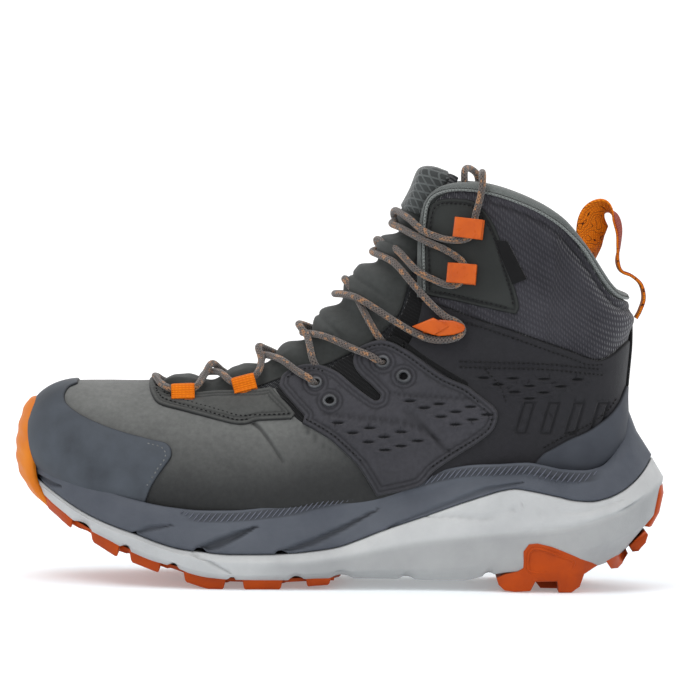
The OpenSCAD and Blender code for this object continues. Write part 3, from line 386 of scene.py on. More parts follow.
def locate(x, z, side):
    """station and angle of the skin points seen at (x, z) from one side"""
    x, z = np.atleast_1d(np.asarray(x, float)), np.atleast_1d(np.asarray(z, float))
    gx, gz = _g[:, :91, 0], _g[:, :91, 2]
    out = np.zeros((len(x), 2))
    for k in range(len(x)):
        i, j = np.unravel_index(((gx - x[k]) ** 2 + (gz - z[k]) ** 2).argmin(), gx.shape)
        out[k] = _us[i], _ps[j]
    h = 1e-3
    for _ in range(10):
        p = section(out[:, 0], out[:, 1])
        r = np.stack([x - p[:, 0], z - p[:, 2]], 1)
        du = (section(out[:, 0] + h, out[:, 1]) - p) / h
        dp = (section(out[:, 0], out[:, 1] + h) - p) / h
        det = du[:, 0] * dp[:, 2] - du[:, 2] * dp[:, 0]
        det = np.where(np.abs(det) < 1e-3, 1e9, det)
        out[:, 0] += np.clip((r[:, 0] * dp[:, 2] - r[:, 1] * dp[:, 0]) / det, -0.5, 0.5)
        out[:, 1] += np.clip((du[:, 0] * r[:, 1] - du[:, 2] * r[:, 0]) / det, -0.2, 0.2)
        out[:, 0] = np.clip(out[:, 0], 0.05, LAST - 0.01)
        out[:, 1] = np.clip(out[:, 1], 0.001, math.pi - 0.001)
    out[:, 1] *= -side
    return out


# ------------------------------------------------------------------ panels of the upper
FRONT = (-math.pi, math.pi)      # pieces that cross the front of the foot
BACK = (0.0, 2 * math.pi)        # pieces that cross the back
HALF = {OUTER: (0.0, math.pi), INNER: (math.pi, 2 * math.pi)}


def region(outline, sub=5, corner=48):
    """signed distance on the skin to a side view outline, negative inside"""
    line = rounded(outline, sub, corner)

    def field(p, n):
        d, way, inside = to_line(p[:, [0, 2]], line)
        lean = (n[:, 0] * way[:, 0] + n[:, 2] * way[:, 1]) ** 2
        return np.where(inside, -d, d) / np.sqrt(np.clip(1 - lean, 0.12, 1))
    return field


def patch(field, angles, stations=(0.12, LAST - 0.02), cell=3.0, fine=1.1, near=2.5,
          levels=(), detail=None):
    """the part of the skin where field is negative, as a mesh over (station, angle)"""
    us = np.linspace(*stations, max(4, int((stations[1] - stations[0]) * 4)))
    ps = np.linspace(*angles, max(5, int((angles[1] - angles[0]) * 12)))
    gu, gp = np.meshgrid(us, ps, indexing="ij")
    q = np.stack([gu.ravel(), gp.ravel()], 1)
    i = (np.arange(len(us) - 1)[:, None] * len(ps) + np.arange(len(ps) - 1)).ravel()
    tri = np.vstack([np.stack([i, i + 1, i + len(ps)], 1),
                     np.stack([i + 1, i + len(ps) + 1, i + len(ps)], 1)])

    def value(q):
        p, n = skin_at(q)
        return p, field(p, n)

    for _ in range(9):
        p, f = value(q)
        size = np.linalg.norm(p[tri] - p[np.roll(tri, 1, 1)], axis=2).max(1)
        tri = tri[f[tri].min(1) < size]
        q, tri = trimmed(q, tri)
        p, f = value(q)

        def long_edges(e):
            a, b = e.T
            length = np.linalg.norm(p[a] - p[b], axis=1)
            want = np.where(np.minimum(np.abs(f[a]), np.abs(f[b])) < near + length * 0.5, fine, cell)
            want = np.where(np.minimum(f[a], f[b]) > 1.5, 1e9, want)
            if detail is not None:
                want = np.minimum(want, detail((p[a] + p[b]) / 2))
            return length > want * 1.3, np.full(len(e), 0.5)
        q, tri, made = divide(q, tri, long_edges)
        if not made:
            break
    for level in (0.0,) + tuple(levels):
        p, f = value(q)
        f = f - level
        f[np.abs(f) < 0.06] = 0

        def crossed(e):
            a, b = e.T
            hit = f[a] * f[b] < 0
            with np.errstate(divide="ignore", invalid="ignore"):
                return hit, np.where(hit, f[a] / (f[a] - f[b]), 0)
        count = len(q)
        q, tri, _ = divide(q, tri, crossed)
        f = np.concatenate([f, np.zeros(len(q) - count)])
        if level == 0:
            q, tri = trimmed(q, tri[f[tri].mean(1) < 0])
    # triangles face outward
    p = section(q[:, 0], q[:, 1])
    n = np.cross(p[tri[:, 1]] - p[tri[:, 0]], p[tri[:, 2]] - p[tri[:, 0]])
    m = outward(q[:, 0], q[:, 1])[tri[:, 0]]
    wrong = (n * m).sum(1) < 0
    tri[wrong] = tri[wrong][:, ::-1]
    area = np.linalg.norm(n, axis=1)
    tri = tri[area > 1e-5]
    return q, tri


def surface(field, angles, **how):
    """the mesh of a panel, its points on the skin, and their distances to its edge, negative inside"""
    q, tri = patch(field, angles, **how)
    p, n = skin_at(q)
    return q, tri, p, field(p, n)


def shell(name, q, tri, top, bottom, body, material, shade_and_dark_edge=0.0, **more):
    """closed solid between two offsets of the skin; the darkening argument, 0 to 1, is how much painted shade
    the face holds, with the darker colour of cut edges
    """
    top = np.broadcast_to(np.asarray(top, float), len(q))
    bottom = np.broadcast_to(np.asarray(bottom, float), len(q))
    n = len(q)
    verts = np.vstack([skin(q, top), skin(q, bottom)])
    st = np.vstack([lengths(q)] * 2)
    held = np.concatenate([np.broadcast_to(shade_and_dark_edge, n), np.ones(n)])
    return add(name, verts, closed_faces(tri, n), body, material, st=np.column_stack([st, held]), **more)


def rolled(f, thick, radius, low=0.4):
    """height of a cut edge that is rounded over"""
    s = np.clip(-f / radius, 0, 1)
    return thick * (low + (1 - low) * np.sqrt(np.maximum(0, 1 - (1 - s) ** 2)))


def rim_shade(f, width=0.9):
    """painted shade along a cut edge, together with the edge's own darker colour"""
    return np.clip(1 + f / width, 0, 1) ** 1.5


def groove(f, at, width, depth):
    """round channel along a line at a distance from an edge"""
    return -depth * np.clip(1 - ((-f - at) / width) ** 2, 0, 1)


# ------------------------------------------------------------------ materials
class Finish:
    """a procedural material: object coordinates in metres, or the lengths stored as "st" in millimetres"""

    def __init__(self, name, rough=0.8, **plain):
        self.mat = bpy.data.materials.new(name)
        self.mat.use_nodes = True
        self.tree = self.mat.node_tree
        self.bsdf = self.tree.nodes["Principled BSDF"]
        self.bumps = None
        for key, value in {"Roughness": rough, **plain}.items():
            self.bsdf.inputs[key.replace("_", " ")].default_value = value

    def feed(self, socket, value):
        """links another node's output to a socket, or gives the socket a plain value"""
        if isinstance(value, bpy.types.NodeSocket):
            self.tree.links.new(value, socket)
        else:
            socket.default_value = value

    def node(self, kind, **inputs):
        n = self.tree.nodes.new(kind)
        for key, value in inputs.items():
            if key.startswith("_"):
                setattr(n, key[1:], value)
                continue
            socket = n.inputs[int(key[1:])] if key[0] == "i" and key[1:].isdigit() else n.inputs[key]
            self.feed(socket, value)
        return n

    def place(self, scale=(1, 1, 1), stored=False, turn=(0, 0, 0)):
        if stored:
            out = self.node("ShaderNodeAttribute", _attribute_name="st").outputs["Vector"]
        else:
            out = self.node("ShaderNodeTexCoord").outputs["Object"]
        return self.node("ShaderNodeMapping", Vector=out, Scale=scale, Rotation=turn).outputs[0]

    def noise(self, scale, detail=3.0, rough=0.55, stretch=(1, 1, 1), stored=False):
        n = self.node("ShaderNodeTexNoise", Vector=self.place(stretch, stored), Scale=scale,
                      Detail=detail, Roughness=rough)
        return n.outputs["Fac"]

    def cells(self, scale):
        return self.node("ShaderNodeTexVoronoi", Vector=self.place(), Scale=scale).outputs["Distance"]

    def math(self, kind, a, b=0.0, c=0.0):
        return self.node("ShaderNodeMath", _operation=kind, i0=a, i1=b, i2=c).outputs[0]

    def wave(self, pitch, axis=0, turn=0.0, stored=True):
        """0 to 1 stripes across one direction, a pitch apart (millimetres)"""
        unit = 1.0 if stored else 1000.0
        where = self.place((unit,) * 3, stored, (0, 0, math.radians(turn)))
        part = self.node("ShaderNodeSeparateXYZ", Vector=where).outputs[axis]
        return self.math("MULTIPLY_ADD", self.math("SINE", self.math("MULTIPLY", part, 2 * math.pi / pitch)),
                         0.5, 0.5)

    def span(self, value, lo, hi, to_lo=0.0, to_hi=1.0):
        return self.node("ShaderNodeMapRange", Value=value, i1=lo, i2=hi, i3=to_lo, i4=to_hi).outputs[0]

    def mix(self, fac, a, b):
        n = self.node("ShaderNodeMix", _data_type="RGBA")
        for socket, value in ((n.inputs[0], fac), (n.inputs[6], a), (n.inputs[7], b)):
            self.feed(socket, value)
        return n.outputs[2]

    def color(self, value):
        self.feed(self.bsdf.inputs["Base Color"], value)

    def shade_and_dark_edge(self, colour, most=0.85):
        """darker where the third stored value says so: painted shade where the face is pressed in or creased,
        and along cut edges, which also have a darker colour of their own
        """
        deep = self.node("ShaderNodeSeparateXYZ", Vector=self.place(stored=True)).outputs[2]
        return self.mix(self.math("MULTIPLY", deep, most), colour, (0.004, 0.004, 0.005, 1))

    def rough(self, value):
        self.feed(self.bsdf.inputs["Roughness"], value)

    def bump(self, value, depth, strength=1.0):
        """adds relief, depth in millimetres"""
        more = {"Normal": self.bumps} if self.bumps else {}
        n = self.node("ShaderNodeBump", Height=value, Distance=depth * MM, Strength=strength, **more)
        self.bumps = n.outputs[0]
        self.tree.links.new(self.bumps, self.bsdf.inputs["Normal"])
        return self


def rgb(r, g, b):
    """linear colour from an sRGB one"""
    def lin(v):
        v = v / 255
        return v / 12.92 if v <= 0.04045 else ((v + 0.055) / 1.055) ** 2.4
    return (lin(r), lin(g), lin(b), 1)


def nubuck(name, dark, light, sheen=0.12):
    m = Finish(name, 0.88, Sheen_Weight=sheen, Sheen_Roughness=0.5, Specular_IOR_Level=0.25)
    cloud = m.noise(38, 4, 0.6)
    fine = m.noise(420, 3, 0.6)
    tone = m.math("ADD", m.span(cloud, 0.3, 0.7, 0.15, 0.6), m.span(fine, 0.3, 0.7, 0, 0.3))
    m.color(m.shade_and_dark_edge(m.mix(tone, dark, light)))
    m.rough(m.span(cloud, 0.3, 0.7, 0.78, 0.95))
    m.bump(m.noise(2200, 2, 0.6), 0.10).bump(m.noise(260, 3, 0.6), 0.18)
    return m.mat


def rubber(name, dark, light, rough=0.5, grain=900):
    m = Finish(name, rough, Specular_IOR_Level=0.2)
    m.color(m.shade_and_dark_edge(m.mix(m.span(m.noise(60, 4), 0.3, 0.7), dark, light)))
    m.rough(m.span(m.noise(120, 3), 0.3, 0.7, rough - 0.08, rough + 0.1))
    m.bump(m.noise(grain, 2), 0.05)
    return m.mat


def foam(name, dark, light, rough=0.62):
    m = Finish(name, rough, Specular_IOR_Level=0.35)
    m.color(m.shade_and_dark_edge(m.mix(m.span(m.noise(28, 5, 0.6), 0.3, 0.7), dark, light), 0.6))
    m.rough(m.span(m.noise(90, 3), 0.3, 0.7, rough - 0.06, rough + 0.1))
    m.bump(m.cells(1500), 0.05).bump(m.noise(300, 3), 0.08)
    return m.mat


def weave(name, dark, light, pitch=1.0, depth=0.25, turn=45.0, rough=0.85, cloud=40):
    """plain weave or spacer mesh laid along the stored lengths"""
    m = Finish(name, rough, Sheen_Weight=0.3, Sheen_Roughness=0.4, Specular_IOR_Level=0.2)
    a, b = m.wave(pitch, 0, turn), m.wave(pitch, 1, turn)
    knit = m.math("MULTIPLY", a, b)
    tone = m.math("ADD", m.span(knit, 0, 1, 0, 0.7), m.span(m.noise(cloud, 3), 0.3, 0.7, -0.1, 0.4))
    m.color(m.shade_and_dark_edge(m.mix(tone, dark, light)))
    m.bump(knit, depth).bump(m.noise(1800, 2), 0.05)
    return m.mat


def ripstop(name, dark, light, line, pitch=2.6):
    """thin cloth with a raised grid of thicker yarns set on the slant"""
    m = Finish(name, 0.7, Sheen_Weight=0.3, Sheen_Roughness=0.4, Specular_IOR_Level=0.3)
    grid = m.math("MAXIMUM", m.span(m.wave(pitch, 0, 38), 0.8, 0.95), m.span(m.wave(pitch, 1, 38), 0.8, 0.95))
    m.color(m.shade_and_dark_edge(m.mix(grid, m.mix(m.span(m.noise(60, 3), 0.3, 0.7), dark, light), line)))
    m.bump(grid, 0.35).bump(m.wave(0.5, 0), 0.05)
    return m.mat


def webbing(name, dark, light, pitch=1.1, depth=0.3):
    """tape with ribs across and a finer warp along"""
    m = Finish(name, 0.72, Sheen_Weight=0.05, Sheen_Roughness=0.4, Specular_IOR_Level=0.15)
    rib = m.math("MULTIPLY", m.wave(pitch, 0), m.span(m.wave(pitch * 1.6, 1), 0, 1, 0.45, 1))
    tone = m.math("ADD", m.span(rib, 0, 1, 0, 0.7), m.span(m.noise(90, 3), 0.3, 0.7, 0, 0.3))
    m.color(m.mix(tone, dark, light))
    m.bump(rib, depth).bump(m.noise(2500, 2), 0.05)
    return m.mat


def braid(name, dark, light, fleck, fleck_dark):
    """round lace: two sets of yarns crossing, with coloured flecks among them"""
    m = Finish(name, 0.75, Sheen_Weight=0.35, Sheen_Roughness=0.4, Specular_IOR_Level=0.3)
    one = m.wave(1.35, 0, 38)
    two = m.wave(1.35, 0, -38)
    yarn = m.math("MAXIMUM", one, two)
    base = m.mix(m.span(yarn, 0.2, 1), dark, light)
    spots = m.node("ShaderNodeTexVoronoi", Vector=m.place((0.34, 0.55, 1), True, (0, 0, math.radians(38))),
                   Scale=1.0).outputs["Color"]
    pick = m.node("ShaderNodeSeparateColor", Color=spots)
    m.color(m.mix(m.span(pick.outputs[0], 0.74, 0.78),
                  base, m.mix(m.span(yarn, 0.2, 1), fleck_dark, fleck)))
    m.bump(yarn, 0.35).bump(m.noise(2500, 2), 0.05)
    return m.mat


def lacquer(name, dark, light, rough=0.3, metallic=0.0):
    m = Finish(name, rough, Metallic=metallic, Coat_Weight=0.08, Coat_Roughness=0.15, Specular_IOR_Level=0.25)
    m.color(m.mix(m.span(m.noise(150, 3), 0.3, 0.7), dark, light))
    m.rough(m.span(m.noise(300, 3), 0.3, 0.7, rough - 0.06, rough + 0.12))
    m.bump(m.noise(700, 2), 0.03)
    return m.mat


def yarn(name, dark, light):
    m = Finish(name, 0.7, Sheen_Weight=0.05, Specular_IOR_Level=0.2)
    m.color(m.mix(m.span(m.noise(900, 2), 0.35, 0.65), dark, light))
    m.bump(m.noise(4000, 2, stretch=(1, 1, 0.4)), 0.08)
    return m.mat


VAMP = nubuck("nubuck_grey", rgb(76, 77, 76), rgb(114, 115, 113))
REAR = nubuck("nubuck_dark", rgb(24, 24, 27), rgb(39, 38, 42))
SADDLE_SKIN = nubuck("nubuck_saddle", rgb(39, 39, 43), rgb(63, 62, 67))
STAY = nubuck("nubuck_eyestay", rgb(52, 53, 52), rgb(80, 81, 79))
CAP = rubber("toe_rubber", rgb(56, 60, 66), rgb(73, 78, 85), 0.6, 1400)
FOXING_RUBBER = rubber("heel_rubber", rgb(50, 53, 60), rgb(64, 67, 74), 0.6, 1400)
DARK_FOAM = foam("foam_dark", rgb(63, 67, 76), rgb(80, 84, 92))
# lighter copy of the dark foam: painted highlight on the ribs
RIB_FOAM_LIT = foam("foam_ribs_lit", rgb(88, 91, 103), rgb(104, 107, 119))
LIGHT_FOAM = foam("foam_light", rgb(166, 167, 168), rgb(186, 187, 187), 0.55)
ORANGE_RUBBER = rubber("rubber_orange", rgb(148, 52, 0), rgb(174, 66, 0), 0.5)
BUMPER_RUBBER = rubber("rubber_bumper", rgb(192, 98, 10), rgb(208, 120, 26), 0.5)
BINDING = weave("binding_knit", rgb(80, 84, 83), rgb(112, 116, 114), 0.8, 0.2)
MESH = weave("collar_mesh", rgb(40, 39, 44), rgb(70, 69, 75), 2.4, 0.5)
LINING = weave("lining_knit", rgb(26, 27, 29), rgb(52, 54, 57), 1.4, 0.3)
FACING = rubber("facing_synthetic", rgb(35, 37, 36), rgb(47, 49, 48), 0.75, 1600)
TONGUE = ripstop("tongue_ripstop", rgb(50, 53, 53), rgb(66, 69, 69), rgb(88, 92, 92))
BLADE = nubuck("tongue_synthetic", rgb(42, 44, 43), rgb(64, 66, 65))
# near-black knit: the throat gussets' own colour, and painted shade in the gaps between the flaps and inside
# the eyelet holes
GUSSET_AND_GAP_SHADE = weave("gusset_knit_and_gap_shade", rgb(7, 7, 8), rgb(18, 18, 20), 1.1, 0.2)
LABEL = weave("label_woven", rgb(8, 8, 9), rgb(22, 22, 24), 0.5, 0.1)
HOOK = lacquer("hook_orange", rgb(170, 68, 0), rgb(188, 82, 0))
TAPE = webbing("tape_orange", rgb(190, 84, 0), rgb(228, 126, 6))
LACE = braid("lace_braid", rgb(42, 38, 38), rgb(98, 89, 84), rgb(156, 116, 84), rgb(92, 62, 42))
TIP = lacquer("aglet_film", rgb(20, 20, 20), rgb(44, 42, 40), 0.35)
METAL = lacquer("eyelet_gunmetal", rgb(52, 53, 55), rgb(84, 85, 88), 0.4, 0.6)
PIPING = braid("piping_cord", rgb(88, 92, 91), rgb(122, 126, 124), rgb(122, 126, 124), rgb(88, 92, 91))
THREAD = yarn("thread_grey", rgb(74, 76, 76), rgb(120, 122, 122))
THREAD_DARK = yarn("thread_dark", rgb(5, 5, 6), rgb(18, 18, 20))
BOARD = weave("strobel_knit", rgb(170, 165, 150), rgb(205, 200, 186), 1.6, 0.2)
STIFFENER = weave("stiffener_felt", rgb(120, 118, 108), rgb(160, 158, 148), 2.0, 0.2)
FOOTBED = weave("footbed_knit", rgb(36, 38, 42), rgb(78, 82, 90), 1.3, 0.25)


# ------------------------------------------------------------------ lace
def tube(name, path, radius, material, slot, replaces, sides=14, step=0.9):
    """a round tube along a smooth line, with its own length and girth stored"""
    line = cubic(path, np.linspace(0, len(path) - 1, (len(path) - 1) * 12 + 1))
    run = run_along(line)
    count = int(run[-1] / step) + 1
    s = np.linspace(0, run[-1], count)
    line = np.stack([np.interp(s, run, line[:, k]) for k in range(3)], 1)
    way = tangents(line)
    up = np.zeros_like(line)
    u = np.cross(way[0], [0, 1, 0.3])
    for i in range(count):
        u = u - way[i] * (u @ way[i])
        u /= np.linalg.norm(u)
        up[i] = u
    side = np.cross(way, up)
    ang = 2 * math.pi * np.arange(sides) / sides
    r = np.broadcast_to(radius, count)[:, None, None]
    ring = up[:, None] * np.cos(ang)[None, :, None] + side[:, None] * np.sin(ang)[None, :, None]
    verts = (line[:, None] + r * ring).reshape(-1, 3)
    st = np.stack([np.repeat(s, sides), np.tile(ang * float(np.mean(radius)), count)], 1)
    i, k = np.meshgrid(np.arange(count - 1), np.arange(sides), indexing="ij")
    a, b = (i * sides + k).ravel(), (i * sides + (k + 1) % sides).ravel()
    faces = np.stack([a, a + sides, b + sides, b], 1).tolist()
    faces.append(list(range(sides)))
    faces.append([(count - 1) * sides + k for k in reversed(range(sides))])
    obj = add(name, verts, faces, "boot", material, slot=slot, replaces=replaces, st=st)
    return obj, line, run[-1]


TOE_RUN = [[-89, -7, 97.5], [-86.5, -15, 95.4], [-82, -21.8, 93.5], [-75.5, -23, 93],
           [-69.5, -20.8, 94.6], [-66, -10.5, 99.4]]
LOOP_RUN = [[-57.5, 11, 100.6], [-52, 20.2, 97], [-46, 20.8, 98.1], [-40.5, 19, 101], [-38.5, 10, 107]]
FLAP_RUN = [[-29, -16.5, 108], [-21, -25, 103], [-15.4, -29.6, 100], [-12, -27.4, 97],
            [-10.4, -24.4, 99], [-11.8, -21.9, 104.4], [-14, -20.4, 109.5], [-16.5, -11, 118.8]]
SADDLE_RUN = [[-8, 17.4, 119.6], [5, 26, 114.6], [13.6, 30.6, 111.4], [19.6, 28.4, 107.8],
              [22, 25.4, 110], [20, 23.7, 117], [16, 24, 122.5], [11, 20, 131]]
LOCK_RUN = [[25, -27.2, 128], [34, -30.4, 123], [42, -33, 120], [50, -34.6, 119.8],
            [55.6, -35.4, 121.6], [57.6, -35.5, 124.8], [55, -34.8, 128.2], [49, -32.8, 131],
            [42, -30, 137], [33, -25.8, 146.5], [24, -17.5, 156]]
HOOK_1_RUN = [[35, 25.4, 152.6], [44, 29.2, 148], [50.6, 31.9, 145.8], [55.6, 33, 147],
              [57.9, 33.2, 151.6], [57, 32.4, 157], [49, 28.4, 162.4], [38, 22.8, 167], [28, 12, 172]]
HOOK_2_RUN = [[38, -22.4, 171.4], [47, -27.6, 168], [54.6, -31.4, 167.4], [60, -33, 169],
              [62, -33.3, 173.6], [62.6, -33, 179], [64.6, -33.2, 187], [65.6, -33.4, 193]]
OUTER_END = [[65.8, -32.4, 198], [65.8, -27.5, 199.6], [65.8, -20.5, 199.3], [65.8, -16.8, 194.5],
             [66, -18, 185], [67, -19.2, 168], [68, -20.4, 150], [69, -21.6, 132],
             [70, -22.6, 114], [71, -23, 96]]
INNER_END = [[64.6, -32.2, 198.2], [61, -26.5, 201], [58.5, -18, 200.4], [58.2, -13.6, 195.5],
             [59, -14.4, 187], [61.5, -17, 171], [64, -19, 154], [66, -21, 136],
             [68, -22.4, 118], [69, -22.6, 100]]


def flip(run):
    return [[x, -y, z] for x, y, z in run]


ROUTES = {
    OUTER: [[-90, 0, 98.2]] + TOE_RUN + [[-62.5, 0, 104.7]] + LOOP_RUN + [[-37.3, 0, 109.4]] + FLAP_RUN
    + [[-19.8, -5, 123], [-20, 2, 124.6]] + SADDLE_RUN + [[5, 11, 138.5], [-3.8, 0, 139.6], [7, -18, 138.4]]
    + LOCK_RUN + [[14, 0, 160.4], [25.5, 13.6, 160.6]] + HOOK_1_RUN
    + [[24.3, 7, 177.6], [25, 0, 180.4], [31, -14, 177]] + HOOK_2_RUN + OUTER_END,
    INNER: [[-90, 0, 98.2]] + flip(TOE_RUN) + [[-61.4, 0, 100.8]] + flip(LOOP_RUN)
    + [[-40.2, -2, 113.2], [-36.6, 6, 112]] + flip(FLAP_RUN) + [[-18.6, 0, 120.4]] + flip(SADDLE_RUN)
    + [[5.6, -10, 140.5], [1, 0, 147], [11, 15, 139.2]] + flip(LOCK_RUN)
    + [[17.2, 9, 163.2], [16.8, 0, 166.2], [26, -15, 161.4]] + flip(HOOK_1_RUN)
    + [[23.2, 0, 174.4], [32, 13, 176.6]] + flip(HOOK_2_RUN) + flip(INNER_END)}
SIDE_NAME = {OUTER: "lateral", INNER: "medial"}

LACE_RADIUS, TIP_RADIUS = 1.7, 1.65
for side in SIDES:
    name = SIDE_NAME[side]
    node = "lace_" + name
    lace, line, length = tube(node + "_braid", ROUTES[side], LACE_RADIUS, LACE, "lace", [node])
    way = line[-1] - line[-8]
    way = way / np.linalg.norm(way)
    tip_path = np.array([line[-1] + way * k for k in (0.0, 0.4, 1.5, 7, 14, 20, 21.6, 22)])
    tip, _, _ = tube("aglet_%s_tip" % name, tip_path, TIP_RADIUS, TIP, "aglet", ["aglet_%s" % name], 16, 0.5)


# ------------------------------------------------------------------ the sole
# outline of the sole from above: x, outer y, inner y
PLAN = np.array([
    [-156, 3, 7], [-153.5, -9, 18], [-147, -21, 29], [-135, -34, 39], [-118, -46, 48],
    [-98, -54.5, 54.5], [-74, -58.5, 58.5], [-48, -57.5, 56], [-22, -53, 50.5], [4, -47.5, 44.5],
    [30, -43.5, 41], [56, -42.5, 40.5], [82, -43.5, 41.5], [106, -44.5, 43], [126, -42, 41],
    [141, -34.5, 34], [151, -23, 23], [156, -9.5, 10], [157, -1, 1]], float)
WALL_TOP = [
    [-149.5, 62], [-145, 59], [-137, 55.5], [-125, 50.5], [-110, 45], [-95, 41], [-80, 38.5],
    [-65, 37.3], [-50, 37.5], [-35, 39], [-20, 41], [-10, 43.5], [0, 45.5], [20, 50], [40, 55],
    [55, 59], [65, 60.5], [75, 61], [90, 62], [97, 61], [107, 59], [117, 58.5], [125, 60],
    [131, 65], [134, 71], [136.5, 80], [138, 90]]
FLANK = [
    [-150.5, 56], [-137, 49], [-110, 38.5], [-80, 30], [-50, 27.5], [-20, 30], [0, 34], [20, 40],
    [40, 46], [60, 52], [80, 56], [97, 56], [117, 53], [128, 56], [134, 61], [140, 70], [143.5, 76]]
SEAM = [
    [-149, 50.5], [-146, 48.5], [-142, 46], [-137, 43], [-125, 36], [-115, 31.5], [-105, 28],
    [-95, 25], [-85, 21.5], [-75, 19], [-65, 17.8], [-50, 16.8], [-30, 17], [-10, 18.8],
    [0, 20.5], [10, 24], [20, 28], [40, 35], [60, 42.5], [70, 46], [78, 48.5], [84, 49.5],
    [92, 48.5], [105, 46], [112, 44.5], [120, 44], [128, 45.5], [135, 48.5], [142, 53.5],
    [148, 60], [150.5, 63.5]]
BULGE = [
    [-149.4, 49], [-137, 41], [-125, 34], [-110, 27], [-95, 22.5], [-80, 18], [-65, 14.5], [-50, 13],
    [-20, 13.5], [0, 16], [20, 20], [40, 24], [60, 26.5], [80, 28.5], [100, 30.5], [120, 34.5],
    [135, 40], [148, 47.5], [157, 54]]
LOWER = [
    [-148, 47.5], [-137, 39], [-125, 31.5], [-110, 24.5], [-95, 18], [-80, 13.5], [-65, 9], [-50, 7.5],
    [-20, 7.8], [0, 9], [20, 10], [60, 12], [80, 17], [100, 19], [120, 22], [135, 27], [148, 33],
    [154, 38]]
BASE = [
    [-147, 46], [-143, 41], [-138, 37], [-131, 32.5], [-125, 29], [-117, 25], [-110, 22],
    [-102, 18.5], [-95, 15.5], [-88, 13], [-82, 11.5], [-75, 9.5], [-70, 7.5], [-60, 5.5],
    [-50, 4.8], [-35, 4.6], [-25, 4.6], [-10, 5.4], [5, 5.6], [25, 5.5], [45, 5.2], [60, 5.4],
    [72, 8], [85, 10], [100, 10.5], [115, 11.5], [125, 13], [130, 14.5], [138, 18]]
TREAD = [
    [-147, 40], [-141, 35], [-135, 31], [-130, 27], [-113, 18], [-107, 14.5], [-96, 11], [-86, 7.5],
    [-70, 2.6], [-62, 0], [-24, 0], [-12, 1.6], [0, 2.4]]
NOTCHES = [(-122, 4.5), (-101, 2.5), (-78, 2.5), (-50, 1.5), (-19.5, 3.5), (2, 5), (33, 3.5), (72, 2.5)]
TOE_X, SOLE_LENGTH, HALF_WIDTH = -156, 313, 52
BASE_TOE_X, BASE_LENGTH = -146.8, 285.8      # the underside of the foam
STEPS = 22                                   # along each span of the outline
_plan = cubic(PLAN, np.linspace(0, len(PLAN) - 1, (len(PLAN) - 1) * STEPS + 1))
PLAN_N = len(_plan)
BASE_X = BASE_TOE_X + BASE_LENGTH * (_plan[:, 0] - TOE_X) / SOLE_LENGTH


def ring(lo, hi, inset, line, drop=0.0):
    """closed loop of the sole, outer side from the toe to the heel, then back along the inner side"""
    x = lo + (hi - lo) * (_plan[:, 0] - TOE_X) / SOLE_LENGTH
    s = 1 - inset / HALF_WIDTH
    z = height_on(line, x) + drop
    return np.vstack([np.stack([x, _plan[:, 1] * s, z], 1), np.stack([x, _plan[:, 2] * s, z], 1)[::-1]])


def between(a, b, t, puff=0.0):
    """rings from a to b, bulging outward by puff in the middle"""
    out = []
    for k in t:
        r = a * (1 - k) + b * k
        if puff:
            r[:, 1] += np.sign(r[:, 1] - 0.5) * puff * 4 * k * (1 - k)
        out.append(r)
    return out


def stacked(name, rings, material, slot, replaces, relief=None, painted_shade=None, floor_cols=9):
    """rings from the top down, closed above and below"""
    m = len(rings[0])
    n = m // 2
    pts = np.array(rings)
    if relief is not None:
        du = np.roll(pts, -1, 1) - np.roll(pts, 1, 1)
        dv = np.gradient(pts, axis=0)
        nor = np.cross(du, dv)
        nor /= np.maximum(np.linalg.norm(nor, axis=2), 1e-9)[..., None]
        flat = pts.reshape(-1, 3)
        side = np.where(flat[:, 1] < 0, OUTER, INNER)
        out = np.where((nor.reshape(-1, 3)[:, 1] * side) < 0, -1.0, 1.0)
        depth = relief(flat, side)
        pts = (flat + nor.reshape(-1, 3) * (out * depth)[:, None]).reshape(pts.shape)
    verts = pts.reshape(-1, 3)
    r, k = np.meshgrid(np.arange(len(rings) - 1), np.arange(m), indexing="ij")
    a, b = (r * m + k).ravel(), (r * m + (k + 1) % m).ravel()
    faces = np.stack([a, b, b + m, a + m], 1).tolist()
    # caps: across from each outer point to its inner one
    t = np.linspace(0, 1, floor_cols + 1)[1:-1]
    extra = []
    for level, up in ((0, True), (len(rings) - 1, False)):
        loop = pts[level]
        base = len(verts) + len(extra)
        for i in range(n):
            for s in t:
                extra.append(loop[i] * (1 - s) + loop[m - 1 - i] * s)

        def at(i, j):
            if j == 0:
                return level * m + i
            if j == floor_cols:
                return level * m + m - 1 - i
            return base + i * (floor_cols - 1) + j - 1
        for i in range(n - 1):
            for j in range(floor_cols):
                f = [at(i, j), at(i, j + 1), at(i + 1, j + 1), at(i + 1, j)]
                faces.append(f if up else f[::-1])
    shade = np.zeros((len(verts) + len(extra), 3))
    # painted shade as the third stored value: darker in the carved lines, and where the given shade field
    # asks
    if relief is not None:
        shade[:len(verts), 2] = np.clip((-depth - 0.7) / 2.2, 0, 0.8)
    if painted_shade is not None:
        shade[:len(verts), 2] = np.maximum(shade[:len(verts), 2], painted_shade(verts))
    verts = np.vstack([verts, np.array(extra)])
    return add(name, verts, faces, "boot", material, slot=slot, replaces=replaces, st=shade)


def cut_line(p, line, widths, depth):
    """relief of a carved line seen from the side: widths at its points, deepest at its middle"""
    line = np.asarray(line, float)
    best = np.zeros(len(p))
    near = (p[:, 0] > line[:, 0].min() - 6) & (p[:, 0] < line[:, 0].max() + 6)
    xz = p[near][:, [0, 2]]
    out = np.zeros(len(xz))
    for i in range(len(line) - 1):
        d = line[i + 1] - line[i]
        t = np.clip(((xz - line[i]) @ d) / (d @ d), 0, 1)
        dist = np.linalg.norm(xz - line[i] - t[:, None] * d, axis=1)
        w = widths[i] * (1 - t) + widths[i + 1] * t
        out = np.maximum(out, np.clip(1 - (dist / np.maximum(w, 0.05)) ** 2, 0, 1))
    best[near] = -depth * out
    return best


